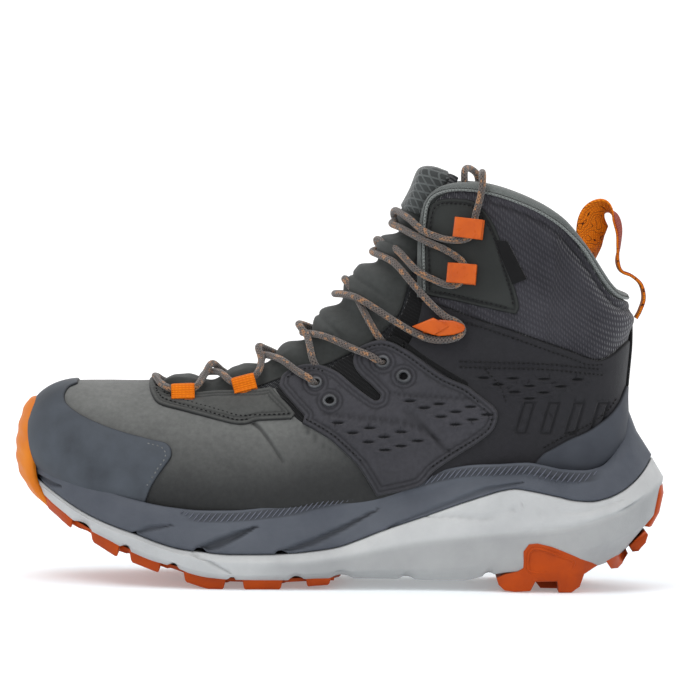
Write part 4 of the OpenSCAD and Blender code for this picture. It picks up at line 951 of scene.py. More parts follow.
DARK_CUTS = [
    ([[-66, 18.5], [-56, 22.5], [-47, 26.5], [-38, 30.5]], [2.0, 3.0, 2.0, 0.3], 3.0),
    ([[-99, 25], [-89, 28.5], [-79, 30.5]], [0.4, 1.6, 0.3], 1.8),
    ([[-28, 17.5], [-12, 23], [2, 29.5], [19, 39]], [1.4, 2.2, 1.8, 0.4], 2.4),
    ([[-146, 49.5], [-140, 47], [-133, 46]], [1.5, 1.8, 0.3], 1.8),
    ([[24, 30], [45, 38.5], [70, 49], [88, 53]], [0.5, 1.5, 1.8, 0.4], 1.3)]
LIGHT_CUTS = [([[-68, 17], [-60, 13], [-50, 8]], [1.0, 1.2, 0.3], 1.2),
              ([[42, 35.5], [56, 36], [68, 35], [80, 38.5], [90, 43]], [0.3, 1.3, 1.6, 1.2, 0.3], 1.0),
              ([[88, 29.5], [112, 32], [132, 38], [150, 48]], [0.3, 1.4, 1.4, 0.4], 0.9),
              ([[96, 38], [118, 39.5], [136, 45]], [0.3, 1.5, 0.4], 0.7)]


def dark_relief(p, side):
    h = np.zeros(len(p))
    for line, widths, depth in DARK_CUTS:
        h += cut_line(p, line, widths, depth)
    # broad hollow along the flank, deeper under the arch
    top, low = height_on(WALL_TOP, p[:, 0]), height_on(SEAM, p[:, 0])
    t = np.clip((p[:, 2] - low) / np.maximum(top - low, 1), 0, 1)
    h -= 0.9 * np.sin(math.pi * t) ** 2 * ease((p[:, 0] + 20) / 60) * ease((125 - p[:, 0]) / 25)
    return h


def rib_shade(p):
    """painted shade in the band between the ribs under the top edge"""
    under_edge = height_on(WALL_TOP, p[:, 0]) - p[:, 2]
    along = ease((p[:, 0] + 76) / 14) * ease((127 - p[:, 0]) / 8)
    return 0.75 * along * ease((under_edge - 0.6) / 0.8) * ease((5.6 - under_edge) / 0.8)


def light_relief(p, side):
    h = np.zeros(len(p))
    for line, widths, depth in LIGHT_CUTS:
        h += cut_line(p, line, widths, depth)
    # notches in the lower edge between the lugs
    for x, r in NOTCHES:
        z = level(BASE, x)
        d = np.hypot((p[:, 0] - x) / 1.1, p[:, 2] - z) / r
        h -= 1.8 * np.clip(1 - d ** 2, 0, 1)
    return h


def flank_shade(p):
    """painted shade: the flank turns under below its widest line and is darkened there"""
    turn = height_on(BULGE, p[:, 0]) - p[:, 2]
    return 0.5 * ease((turn + 1.5) / 4) * ease((p[:, 0] + 60) / 60)


TOP = ring(-149.6, 138, 5, WALL_TOP)
FLANK_RING = ring(-150.6, 143.5, 3, FLANK)
SEAM_RING = ring(-149.6, 151, 1.6, SEAM)
BULGE_RING = ring(-149.4, 157, 0, BULGE)
LOWER_RING = ring(-148.4, 154, 0.6, LOWER)
BASE_RING = ring(-146.8, 139, 4, BASE)
dark_rings = [ring(-142, 128, 14, WALL_TOP, -2.5), ring(-147.6, 134.5, 8, WALL_TOP, -0.6),
              ring(-148.6, 136.6, 6.4, WALL_TOP, 0.1), ring(-149.3, 137.6, 5.4, WALL_TOP, 0.0)]
dark_rings += between(TOP - [0, 0, 0.5], FLANK_RING, np.linspace(0, 0.94, 14), 0.5)
dark_rings += between(FLANK_RING, SEAM_RING + [0, 0, 1.2], np.linspace(0.04, 1, 12), 0.3)
dark_rings += [ring(-149.4, 150.7, 2.0, SEAM, 0.55), ring(-149, 150.2, 3.0, SEAM, 0.1),
               ring(-146, 147, 8, SEAM, 0.05)]
stacked("midsole_dark_layer", dark_rings, DARK_FOAM, "midsole_dark", ["midsole_upper"], dark_relief,
        rib_shade)
light_rings = [ring(-146, 147, 8, SEAM, -0.05), ring(-149, 150.2, 3.0, SEAM, -0.1),
               ring(-149.3, 151.6, 1.9, SEAM, -0.6)]
light_rings += between(ring(-149.4, 152, 1.5, SEAM, -1.4), BULGE_RING, np.linspace(0, 0.96, 10), 0.4)
light_rings += between(BULGE_RING, LOWER_RING, np.linspace(0, 0.97, 10))
light_rings += between(LOWER_RING, BASE_RING, [0.0, 0.1, 0.3, 0.5, 0.7, 0.85, 0.95, 1.0], 0.5)
light_rings += [ring(-146, 138, 5.2, BASE, -0.1)]
stacked("midsole_light_layer", light_rings, LIGHT_FOAM, "midsole_light", ["midsole_lower"], light_relief,
        flank_shade)

_walls = [np.array(r) for r in (TOP, FLANK_RING, SEAM_RING, BULGE_RING, LOWER_RING, BASE_RING)]


def wall_y(x, z, side):
    """how far out the sole's wall stands at (x, z); it runs on downward below the foam"""
    x, z = np.atleast_1d(np.asarray(x, float)), np.atleast_1d(np.asarray(z, float))
    half = slice(0, PLAN_N) if side == OUTER else slice(PLAN_N, None)
    rows = []
    for r in _walls:
        part = r[half]
        part = part[np.argsort(part[:, 0])]
        rows.append([np.interp(x, part[:, 0], part[:, k]) for k in (1, 2)])
    y = np.array([r[0] for r in rows])
    h = np.array([r[1] for r in rows])
    y = np.vstack([y, y[-1:] * 0.97])
    h = np.vstack([h, h[-1:] - 14])
    out = np.zeros(len(x))
    for i in range(len(x)):
        order = np.argsort(h[:, i])
        out[i] = np.interp(z[i], h[order, i], y[order, i])
    return out


# fine ribs under the top edge of the dark foam
RIB_FROM, RIB_TO, RIB_PITCH = -74, 124, 2.7


def ribs(name):
    verts, faces = [], []
    for side in SIDES:
        for x in np.arange(RIB_FROM, RIB_TO, RIB_PITCH):
            top = float(height_on(WALL_TOP, x))
            reach = 4.6 * float(ease((x + 76) / 14) * ease((127 - x) / 8)) + 0.6
            t = np.linspace(0, 1, 6)
            xs = x - 3.6 * t * reach / 5
            zs = top - 1.0 - reach * t * 0.9
            ys = wall_y(xs, zs, side)
            base = len(verts)
            for k in range(6):
                w = 0.75 * math.sqrt(max(0.05, 1 - (2 * t[k] - 1) ** 4))
                lift = 1.0 * math.sqrt(max(0.0, 1 - (2 * t[k] - 1) ** 4))
                shoulder = lift * 0.7
                for dx, up in ((-w, -0.5), (-w * 0.6, shoulder), (0, lift), (w * 0.6, shoulder), (w, -0.5)):
                    verts.append([xs[k] + dx, ys[k] + side * up, zs[k] + dx * 0.55])
            for k in range(5):
                for j in range(4):
                    a = base + k * 5 + j
                    f = [a, a + 1, a + 6, a + 5]
                    faces.append(f if side == INNER else f[::-1])
                f = [base + k * 5 + 4, base + k * 5, base + (k + 1) * 5, base + (k + 1) * 5 + 4]
                faces.append(f if side == INNER else f[::-1])
            for k, turn in ((0, side == INNER), (5, side == OUTER)):
                f = [base + k * 5 + j for j in range(5)]
                faces.append(f[::-1] if turn else f)
    return add(name, verts, faces, "boot", RIB_FOAM_LIT, slot="midsole_dark")


ribs("midsole_rib_band")


# ------------------------------------------------------------------ rubber
def inset(loop, by):
    """loop moved inward by a distance, corner by corner"""
    a, b = np.roll(loop, 1, 0), np.roll(loop, -1, 0)
    t1 = loop - a
    t2 = b - loop
    t1 /= np.maximum(np.linalg.norm(t1, axis=1), 1e-9)[:, None]
    t2 /= np.maximum(np.linalg.norm(t2, axis=1), 1e-9)[:, None]
    n = np.stack([-(t1 + t2)[:, 1], (t1 + t2)[:, 0]], 1)
    n /= np.maximum(np.linalg.norm(n, axis=1), 1e-9)[:, None]
    x, y = loop[:, 0], loop[:, 1]
    turn = np.sign((x * np.roll(y, -1) - np.roll(x, -1) * y).sum())
    return loop + n * by * turn


def block(outline, where, rows, spacing=4.0):
    """a block built in rows: (inset, depth) from its outer face inward; where(xy, depth) makes 3-D points"""
    base = np.asarray(outline, float)
    loop = []
    for a, b in zip(base, np.roll(base, -1, 0)):
        k = max(1, int(round(np.linalg.norm(b - a) / spacing)))
        loop += [a + (b - a) * i / k for i in range(k)]
    loop = np.array(loop)
    n = len(loop)
    verts, faces = [], []
    for by, depth in rows:
        verts.append(where(inset(loop, by), depth))
    for r in range(len(rows) - 1):
        for k in range(n):
            a, b = r * n + k, r * n + (k + 1) % n
            faces.append([a, b, b + n, a + n])
    verts = np.vstack(verts)
    for r, front in ((0, True), (len(rows) - 1, False)):
        flat = inset(loop, rows[r][0])
        found = [Vector(v) for v in flat]
        _, _, tri, _, _, _ = delaunay_2d_cdt(found, [(i, (i + 1) % n) for i in range(n)], [], 1, 1e-6)
        for f in tri:
            f = [r * n + i for i in f if i < n]
            if len(f) >= 3:
                faces.append(f if front else f[::-1])
    return verts, faces


def joined(name, parts, body, material, smooth=False, **more):
    """several (verts, faces) parts as one mesh, with its faces turned outward"""
    verts, faces, count = [], [], 0
    for v, f in parts:
        verts.append(v)
        faces += [[i + count for i in face] for face in f]
        count += len(v)
    obj = add(name, np.vstack(verts), faces, body, material, smooth=smooth, **more)
    face_outward(obj)
    return obj


def soften(obj, width=0.6, segments=2, angle=35):
    """rounded edges on a hard shape"""
    mod = obj.modifiers.new("edges", "BEVEL")
    mod.width = width * MM
    mod.segments = segments
    mod.limit_method = "ANGLE"
    mod.angle_limit = math.radians(angle)
    mod.harden_normals = False
    for p in obj.data.polygons:
        p.use_smooth = True
    return obj


def plan_band(x0, x1, inset_out, inset_in, side):
    """plan outline of a lug along one edge of the sole"""
    y = _plan[:, 1] if side == OUTER else _plan[:, 2]
    t = np.linspace(x0, x1, 6)
    y_out = np.interp(t, BASE_X, y) * (1 - inset_out / HALF_WIDTH)
    y_in = np.interp(t, BASE_X, y) * (1 - inset_in / HALF_WIDTH)
    return np.vstack([np.stack([t, y_out], 1), np.stack([t, y_in], 1)[::-1]])


def lug(outline, grow=1.2):
    """lug under the forefoot, wider at its root"""
    def where(xy, depth):
        top, low = level(BASE, xy[:, 0]) + 1.0, level(TREAD, xy[:, 0])
        return np.column_stack([xy, top * (1 - depth) + low * depth])
    return block(outline, where, [(-grow, 0.0), (-0.3, 0.45), (0.2, 0.8), (1.0, 1.0)], 5)


EDGE_LUGS = [[-140.5, -127.5], [-117.5, -104.5], [-98.5, -84.5], [-72.5, -53.5], [-44.5, -26.5],
             [-14.5, -3.5]]
CHEVRONS = [[-134, 12], [-111, 16], [-91, 18], [-62, 19], [-35, 17], [-12, 15]]
parts = []
for side in SIDES:
    for x0, x1 in EDGE_LUGS:
        parts.append(lug(plan_band(x0, x1, 4.8, 18.5, side)))
for x, w in CHEVRONS:
    for s in (-1, 1):
        x7 = x + 7
        parts.append(lug(np.array([[x7 - 1, s * 1.5], [x7 + 7, s * 1.5], [x7 + 3, s * (w - 1)],
                                   [x7 - 5, s * (w - 1)]][::s]), 0.6))
forefoot = joined("outsole_forefoot_lugs", parts, "boot", ORANGE_RUBBER, slot="outsole",
                  replaces=["outsole_forefoot"])
soften(forefoot, 0.5)

# web that joins the lugs
WEB_INSET = 9


def forefoot_web():
    xs = np.linspace(-140, -1.5, 60)
    cols = np.linspace(-1, 1, 17)
    lo_y = np.interp(xs, BASE_X, _plan[:, 1]) * (1 - WEB_INSET / HALF_WIDTH)
    hi_y = np.interp(xs, BASE_X, _plan[:, 2]) * (1 - WEB_INSET / HALF_WIDTH)
    grid = []
    for drop in (1.4, -0.3):
        for x, a, b in zip(xs, lo_y, hi_y):
            for c in cols:
                grid.append([x, (a + b) / 2 + (b - a) / 2 * c, level(BASE, x) - drop])
    sheet = (np.array(grid), double_sheet(len(xs), len(cols)))
    joined("outsole_forefoot_web", [sheet], "boot", ORANGE_RUBBER, slot="outsole")


forefoot_web()

POD = [[76, 6.8], [80, 8.8], [86, 10.3], [88.5, 12], [88.5, 20], [91, 23.5], [95, 24], [102, 22.5],
       [115, 17.5], [122, 14.5], [124.5, 13], [122, 11.5], [118, 9], [116, 3], [112, 0.2], [105.8, 0.2],
       [105, 5.6], [94.5, 5.3], [92.3, 0.8], [85, 0.2], [80, 0.8], [77, 3.5]]
POD_RECESS = [[90.5, 13], [91, 19.5], [93, 21.5], [97, 21.3], [108, 17.6], [113, 15.3], [112, 12],
              [104, 10.3],
              [96, 9.8], [91.5, 10.5]]
HEEL_CORE = [[82, 11], [110, 12], [110, 6], [106, 0], [98, 0], [94, 5], [88, 0], [82, 4]]
HEEL_WEB = [[84, 13], [112, 14.5], [124, 15], [124, 13], [112, 10.5], [84, 9]]
LUG_A = [[128.5, 15], [131, 17], [138.4, 20.6], [139.6, 18], [137.4, 12.2], [135, 10.6], [131.4, 10.8]]
LUG_B = [[140.4, 21.2], [147.6, 29], [149.6, 26.6], [148.4, 22.6], [145, 18.8], [142, 18.4]]
parts = []


def wall_block(outline, side, proud, depth_mm):
    """block let into the wall of the sole, with its outer face a little proud of it"""
    def where(xy, depth):
        y = wall_y(xy[:, 0], xy[:, 1], side) + side * proud
        return np.column_stack([xy[:, 0], y - side * depth * depth_mm, xy[:, 1]])
    rows = [(0.7, 0.0), (0.15, 0.35 / depth_mm), (0.0, 1.0 / depth_mm), (0.0, 1.0)]
    return block(outline, where, rows, 2.5)


for side in SIDES:
    parts.append(wall_block(POD, side, 1.0, 24))
    parts.append(wall_block(LUG_A, side, 0.6, 22))
    parts.append(wall_block(LUG_B, side, 0.5, 18))


def across_block(outline, y0, y1):
    """block that runs across the sole from y0 to y1"""
    def where(xy, depth):
        return np.column_stack([xy[:, 0], np.full(len(xy), y0 + (y1 - y0) * depth), xy[:, 1]])
    return block(outline, where, [(0.5, 0.0), (0, 0.03), (0, 0.97), (0.5, 1.0)], 4)


def bead(outline, side, proud, r):
    """rounded frame standing on the wall of the sole, along a closed outline"""
    loop = rounded(outline, 5, 40)
    p = np.column_stack([loop[:, 0], wall_y(loop[:, 0], loop[:, 1], side) + side * proud, loop[:, 1]])
    way = np.roll(p, -1, 0) - np.roll(p, 1, 0)
    way /= np.linalg.norm(way, axis=1)[:, None]
    up = np.cross(way, [0, 1, 0])
    up /= np.linalg.norm(up, axis=1)[:, None]
    n = len(p)
    verts = np.vstack([p + r * (up * math.cos(a) + np.array([0, 1, 0]) * math.sin(a))
                       for a in np.arange(8) * math.pi / 4])
    faces = [[a * n + i, a * n + (i + 1) % n, (a + 1) % 8 * n + (i + 1) % n, (a + 1) % 8 * n + i]
             for a in range(8) for i in range(n)]
    return verts, faces


for side in SIDES:
    parts.append(bead(POD_RECESS, side, 1.0, 0.7))
parts.append(across_block(HEEL_CORE, -16, 16))
parts.append(across_block(LUG_A, -12, 12))
parts.append(across_block(LUG_B, -14, 14))
parts.append(across_block(HEEL_WEB, -28, 28))
TAB = [[149, 30.5], [152, 30.2], [155.6, 37], [157.4, 46], [156.8, 50.5], [152, 50], [150, 40]]


def tab_where(xy, depth):
    y = -13 + 26 * depth
    back = 6.0 * ((y / 13.0) ** 2) * 0.35
    return np.column_stack([xy[:, 0] - back, np.full(len(xy), y), xy[:, 1]])


TAB_ROWS = [(0.6, 0.0), (0, 0.05), (0, 0.25), (0, 0.5), (0, 0.75), (0, 0.95), (0.6, 1.0)]
parts.append(block(TAB, tab_where, TAB_ROWS, 3))
heel = joined("outsole_heel_lugs", parts, "boot", ORANGE_RUBBER, slot="outsole", replaces=["outsole_heel"])
soften(heel, 0.45)

# rubber that wraps up over the toe
BUMPER = [[87.2, -148.2], [86, -150.6], [82, -153], [76, -155], [67, -156.5], [58, -156.5], [51, -155],
          [44, -151], [39, -146], [35.6, -142]]


def toe_bumper():
    """rubber that wraps up over the toe, with rows of low ribs across it"""
    rows_b = cubic(BUMPER, np.linspace(0, len(BUMPER) - 1, 90))
    ys = np.linspace(-15.5, 24.5, 41)
    verts = []
    for depth in (0, 1):
        for z, x in rows_b:
            for y in ys:
                t = (y - 4.5) / 20
                back = 6.6 * t * t
                edge = 1 - np.clip((abs(t) - 0.88) / 0.12, 0, 1) ** 2 * 0.7
                lug_row = 0.5 * math.sin((z - 38) * math.pi / 8.0) ** 2 * float(ease((0.9 - abs(t)) / 0.2))
                thick = 2.0 * edge
                verts.append([x + back + (1 - edge) * 1.6 - lug_row * (1 - depth) + depth * (thick + 2.2), y,
                              z - 4.6 * t * t])
    sheet = (np.array(verts), double_sheet(len(rows_b), len(ys), turned=True))
    joined("toe_bumper_rubber", [sheet], "boot", BUMPER_RUBBER, smooth=True, slot="outsole",
           replaces=["toe_bumper"])


toe_bumper()


# ------------------------------------------------------------------ outlines of the panels, side view
THROAT_LINE = [
    [-91, 110], [-91, 96], [-89, 93.5], [-82, 91], [-70, 91], [-60, 92], [-53, 92.5], [-40, 93.5],
    [-31, 95], [-24, 94], [-10, 95], [2, 98], [12, 102.5], [22, 106], [29, 113], [34, 121], [37, 130],
    [38, 136]]
FRONT_OF_HEEL = [[4, 99], [14, 86], [24, 70], [34, 52], [44, 20]]
COLLAR_LINE = [[37.8, 137]] + [list(p) for p in COLLAR_SEAM if p[0] > 38] + [[150, 126]]
COLLAR_TOP = [
    [35.5, 138], [35, 150], [35, 166], [36, 178], [38, 186], [42, 191.5], [48, 194.5], [55, 195.5],
    [65, 195], [75, 193], [84, 190], [93, 186.5], [101, 182], [108, 177], [115, 169], [122, 159],
    [128, 150], [131, 146], [136, 143.5], [150, 140]]
COLLAR_INNER = [
    [39.5, 138], [39, 150], [39, 166], [40, 176], [42, 184], [46, 188.5], [52, 191], [60, 191.3],
    [70, 190], [80, 187.5], [90, 183.5], [98, 179.5], [105, 174], [112, 166], [119, 156],
    [125, 146.5], [129, 142.5], [135, 139.5], [150, 136]]
TOE_CAP = [
    [-200, 112], [-127, 112], [-127, 94], [-131, 92], [-132.5, 88.5], [-131, 85], [-124, 80.5],
    [-113, 76], [-103, 73], [-90, 70], [-83, 68.5], [-80.2, 66], [-80, 62], [-84, 56], [-89, 48],
    [-92.5, 38], [-110, 38], [-125, 44], [-137, 48], [-152, 54], [-200, 60]]
EYESTAY = [
    [-91, 112], [-92.5, 96], [-91, 90.5], [-87, 86], [-75, 83], [-60, 79.5], [-51, 77.6], [-45, 77.6],
    [-40, 79.2], [-30, 80], [-22.5, 80.5], [-21.5, 83], [-25, 87], [-30, 91.5], [-33, 94.8], [-40, 93.5],
    [-53, 92.5], [-60, 92], [-70, 91], [-82, 91], [-89, 93.5], [-90.4, 97], [-90.4, 112]]
SADDLE = [
    [-29.5, 95], [-28, 100], [-24, 103], [-18, 105.5], [-12, 106], [-7, 105],
    [-1, 102.5], [4.2, 98.4], [9.5, 94.4], [16.4, 90], [18.8, 90.6], [19.2, 92.8], [13.9, 97.9], [9.5, 101.6],
    [6.4, 105.8], [6, 110], [8, 114], [12, 116.5],
    [18, 118.5], [23, 118], [28, 116], [35, 112], [42, 107], [50, 102], [60, 98], [65, 94.5],
    [70, 90.8], [73.4, 88], [75, 85], [74.6, 81], [72.4, 76.5], [65, 70.5], [55, 64], [45, 57],
    [38, 50], [18, 45], [9, 59], [0, 67.5], [-5, 71.5], [-12, 75.5], [-18, 78.5], [-17, 82], [-24, 89]]
FOXING = [
    [92, 60], [97, 66], [102, 69], [110, 73.5], [118, 77], [124, 81], [129, 85], [133, 90],
    [135.5, 95], [137, 98], [150, 98], [150, 60], [137, 50], [100, 50]]
BACKSTAY = [[126, 97.6], [127, 104], [129, 112], [131, 121], [131, 128.5], [150, 128.5], [150, 97.6]]
HOOK_FACING = [
    [39.8, 140.5], [39.4, 166], [40.4, 176], [42.4, 183.6], [47, 186.5], [55, 187], [62, 186],
    [68, 181], [72, 175], [75, 168], [79, 155], [83, 143], [84.5, 136], [83, 132.5], [75, 134],
    [60, 137], [50, 139]]
LABEL_EDGE = [[71.8, 168], [78.5, 167.5], [88, 149.5], [81, 146.5]]
SLOT_1 = [[-31.5, 94.5], [-28.5, 96.5], [-15, 80.5], [-18, 79], [-22, 82]]
SLOT_2 = [[-6, 104], [3, 97.5], [9, 93], [16.5, 88.5], [20.5, 90.5], [20, 94], [14, 99.5], [8, 104.5],
          [9, 113], [0, 109]]
SLOT_3 = [[20, 119.5], [30, 115.5], [44, 106.5], [53, 101], [62, 96.8], [60, 100], [50, 105.5], [38, 113],
          [30, 118.5], [25, 121]]


def both(*fields):
    def field(p, n):
        return np.maximum.reduce([f(p, n) for f in fields])
    return field


def above_sole(drop):
    """keeps what is higher than a little below the top of the dark foam"""
    line = np.array(WALL_TOP)

    def field(p, n):
        return np.interp(p[:, 0], line[:, 0], line[:, 1]) - drop - p[:, 2]
    return field


def y_side(side):
    return lambda p, n: -side * p[:, 1]


def ovals(spots, a=2.5, b=0.75, tilt=2):
    c, s = math.cos(math.radians(tilt)), math.sin(math.radians(tilt))

    def shape(p):
        best = np.full(len(p), 9.0)
        for x, z in spots:
            dx, dz = p[:, 0] - x, p[:, 2] - z
            best = np.minimum(best, np.hypot((dx * c + dz * s) / a, (dz * c - dx * s) / b))
        return best
    return shape


DIMPLES_SADDLE = ovals([(-1, 79), (14, 77), (29, 75.5), (6, 74.5), (21, 73), (37, 71.5), (13.5, 70.5),
                        (29, 69), (21.5, 67), (33, 90), (47, 89), (62, 88), (40, 87), (55, 85.5), (70, 84.5),
                        (48, 83), (63, 82), (55, 79.5)], 3.0, 0.7)
DIMPLES_REAR = ovals([(68, 102), (82, 102), (97, 102), (113, 102), (75, 99), (90, 98.5), (105, 98.5),
                      (83, 95.5), (97, 95.5), (90, 92.5)], 3.0, 0.7)
# generic slanted bars pressed into the heel quarter
BAR_STARTS = (0, 12, 24, 36)
BARS = [[[84 + x, 76], [88.5 + x, 76], [92.5 + x, 90.5], [88 + x, 90.5]] for x in BAR_STARTS]


def bars(p):
    best = np.full(len(p), 9.0)
    for b in BARS:
        d, _, inside = to_line(p[:, [0, 2]], rounded(b, 4, 20))
        best = np.minimum(best, np.where(inside, -d, d))
    return best


def beside(p, line):
    """distance in side view to an open line"""
    return to_line(p[:, [0, 2]], line, closed=False)[0]


def wrinkles(p, lines):
    """soft creases: (points, width, depth)"""
    h = np.zeros(len(p))
    for line, width, depth in lines:
        d = beside(p, rounded(line, 4, 60, closed=False))
        h -= depth * np.exp(-(d / width) ** 2)
    return h


def uneven(p, size, amount, seed=0.0):
    """slow unevenness of stretched leather"""
    a = np.sin(p[:, 0] / size + 1.3 + seed) * np.sin(p[:, 2] / (size * 0.8) + 0.7 * seed)
    b = (np.sin(p[:, 0] / (size * 0.43) + p[:, 2] / (size * 0.6) + 2.1 + seed)
         * np.sin(p[:, 1] / (size * 0.5) + seed))
    return amount * (0.6 * a + 0.4 * b)


# ------------------------------------------------------------------ upper: main panels
VAMP_EDGE = [p for p in THROAT_LINE if p[0] < 3] + FRONT_OF_HEEL + [[-200, 20], [-200, 110]]
vamp_field = both(region(VAMP_EDGE), above_sole(7))
VAMP_CREASES = [([[-42, 79], [-38, 76], [-32, 68.5], [-27, 61]], 0.9, 1.1),
                ([[-17, 77], [-10, 71], [-2, 65.5]], 1.0, 0.7),
                ([[-60, 74], [-48, 60], [-44, 50]], 4.0, 0.35),
                ([[-100, 88], [-92, 80], [-86, 76]], 4.0, 0.3)]


def vamp_detail(p):
    """finer where the sharp creases are"""
    x, z = p[:, 0], p[:, 2]
    return np.where((x > -50) & (x < -20) & (z > 56) & (z < 84), 0.8, 9)


q, tri, p, f = surface(vamp_field, FRONT, cell=2.6, fine=1.2, levels=(-0.5, -1.2), detail=vamp_detail)
top = wrinkles(p, VAMP_CREASES) + uneven(p, 17, 0.35) - 0.5 * (1 - rolled(f, 1, 1.2, 0.2))
# painted shade: darker towards the sole, along the cut edge (with the edge's own darker colour) and in the
# two sharp creases
low_shade = 1 - ease((p[:, 2] - height_on(WALL_TOP, p[:, 0]) - 2) / 46)
held = np.maximum.reduce([rim_shade(f), low_shade, 0.7 * np.clip(-wrinkles(p, VAMP_CREASES[:2]) / 0.7, 0, 1)])
shell("vamp_leather", q, tri, top, -UPPER_T, "boot", VAMP, held, slot="nubuck_green_grey", replaces=["vamp"])

REAR_EDGE = [p for p in THROAT_LINE if p[0] > 3] + COLLAR_LINE + [[150, 20]] + FRONT_OF_HEEL[:0:-1]
rear_region = region(REAR_EDGE)
REAR_CREASES = [([[60, 108], [80, 108.3], [100, 108], [125, 106]], 0.8, 0.35),
                ([[80, 116], [92, 98], [97, 84]], 5, 0.4), ([[62, 122], [74, 112]], 5, 0.35)]
for side in SIDES:
    rear_edge = both(rear_region, above_sole(7))
    rear_field = both(rear_edge, y_side(side))
    q, tri = patch(rear_field, HALF[side], cell=2.6, fine=1.2,
                   levels=(-0.5, -1.2),
                   detail=lambda p: np.where((np.abs(bars(p)) < 1.8) | (DIMPLES_REAR(p) < 2.8), 0.5, 9))
    p, n = skin_at(q)
    f = rear_edge(p, n)
    edge = np.abs(bars(p))
    top = (wrinkles(p, REAR_CREASES) + uneven(p, 15, 0.35, 2.0) - 0.5 * (1 - rolled(f, 1, 1.2, 0.2))
           - 0.9 * np.clip(1 - (edge / 1.1) ** 2, 0, 1) + 0.4 * np.clip(-bars(p) / 2, 0, 1)
           - 1.2 * ease((1.15 - DIMPLES_REAR(p)) / 0.5) + 0.5 * np.exp(-(DIMPLES_REAR(p) - 2.0) ** 2 / 0.4))
    # painted shade along the cut edge (with the edge's own darker colour), in the dimples and in the grooves
    # round the bars
    held = np.maximum.reduce([rim_shade(f), 0.9 * ease((1.1 - DIMPLES_REAR(p)) / 0.6),
                              0.55 * np.clip(1 - (edge / 0.9) ** 2, 0, 1)])
    shell("rear_quarter_%s_leather" % SIDE_NAME[side], q, tri, top, -UPPER_T, "boot", REAR, held,
          slot="nubuck_charcoal", replaces=["rear_quarter_%s" % SIDE_NAME[side]])

# painted shade: dark knit sheets set in the gaps between the flaps, where the gaps lie in shade
for side in SIDES:
    for k, outline in enumerate((SLOT_1, SLOT_2, SLOT_3)):
        f_slot = both(region(outline, 4, 35), y_side(side))
        q, tri = patch(f_slot, HALF[side], cell=1.6, fine=0.9, near=1.0)
        shell("slot_gap_shade_%s_%d" % (SIDE_NAME[side], k + 1), q, tri, 0.22, -0.3, "boot", GUSSET_AND_GAP_SHADE,
              slot="textile")


def overlay(name, field, angles, material, slot, replaces, thick, radius, extra=None, detail=None,
            bottom=-0.4, stitch=(), painted_shade=None):
    """a panel laid on the skin: rounded edges, grooves for its stitching, and extra relief"""
    levels = (-0.15 * radius, -0.45 * radius, -radius) + tuple(-s for s in stitch)
    q, tri, p, f = surface(field, angles, cell=2.4, fine=1.0, near=3.2, levels=levels, detail=detail)
    top = rolled(f, thick, radius, 0.35)
    # painted shade along the cut edge (with the edge's own darker colour), in the stitch grooves, and where
    # the given shade field asks
    held = rim_shade(f)
    for at in stitch:
        top = top + groove(f, at, 0.8, 0.4)
        held = np.maximum(held, -0.6 * groove(f, at, 0.7, 1))
    if extra is not None:
        top = top + extra(p, f)
    if painted_shade is not None:
        held = np.maximum(held, painted_shade(p))
    return shell(name, q, tri, top, bottom, "boot", material, held, slot=slot, replaces=replaces)


cap_field = both(region(TOE_CAP), above_sole(6))
CAP_CREASES = [([[-112, 79.5], [-100, 75.5], [-94, 74.6]], 0.8, 0.25)]
overlay("toe_cap_rubber", cap_field, FRONT, CAP, "toe_cap", ["toe_cap"], 1.25, 1.1,
        extra=lambda p, f: wrinkles(p, CAP_CREASES) + uneven(p, 20, 0.15, 4))
eyestay_field = region(EYESTAY)
overlay("eyestay_leather", eyestay_field, FRONT, STAY, "nubuck_green_grey", ["eyestay"], 1.35, 0.9,
        stitch=(2.2, 4.0))

EYELETS = [(-12, 97), (-5, 89), (20, 108), (30, 101.5)]
SADDLE_CREASES = [([[31, 86], [36, 81], [52, 67]], 0.8, 0.8), ([[24, 93.4], [40, 92.4], [62, 92]], 0.8, 0.5),
                  ([[-8, 83], [10, 81.5], [28, 80], [38, 77.5], [46, 72]], 0.8, 0.5),
                  ([[-14, 92], [-6, 84], [4, 80]], 3, 0.4)]


def holes(p):
    return np.min([np.hypot((p[:, 0] - x), (p[:, 2] - z) * 1.1) for x, z in EYELETS], axis=0)


for side in SIDES:
    saddle_region = region(SADDLE, 5, 50)
    saddle_field = both(saddle_region, above_sole(6), y_side(side))
    punched = both(saddle_field, lambda p, n: 1.9 - holes(p))

    def saddle_relief(p, f):
        d = DIMPLES_SADDLE(p)
        return (wrinkles(p, SADDLE_CREASES) - 1.4 * ease((1.15 - d) / 0.5)
                + 0.5 * np.exp(-(d - 2.0) ** 2 / 0.4) + uneven(p, 12, 0.2, 1.0))

    # painted shade in the dimples and in the creases
    def saddle_hollow_shade(p):
        return np.maximum(0.9 * ease((1.1 - DIMPLES_SADDLE(p)) / 0.6),
                          0.8 * np.clip(-wrinkles(p, SADDLE_CREASES[:3]) / 0.6, 0, 1))
    overlay("saddle_%s_leather" % SIDE_NAME[side], punched, HALF[side], SADDLE_SKIN, "nubuck_charcoal",
            ["saddle_%s" % SIDE_NAME[side]], 1.75, 1.1, extra=saddle_relief, bottom=-0.2,
            detail=lambda p: np.where((DIMPLES_SADDLE(p) < 2.4) | (holes(p) < 4), 0.5, 9),
            stitch=(2.2, 4.2), painted_shade=saddle_hollow_shade)

overlay("heel_foxing_rubber", both(region(FOXING), above_sole(5)), BACK, FOXING_RUBBER, "toe_cap",
        ["heel_foxing"], 1.25, 1.0)
overlay("backstay_strip", both(region(BACKSTAY), lambda p, n: np.abs(p[:, 1]) - 7), BACK, THREAD_DARK,
        "textile", ["backstay"], 1.2, 0.8)


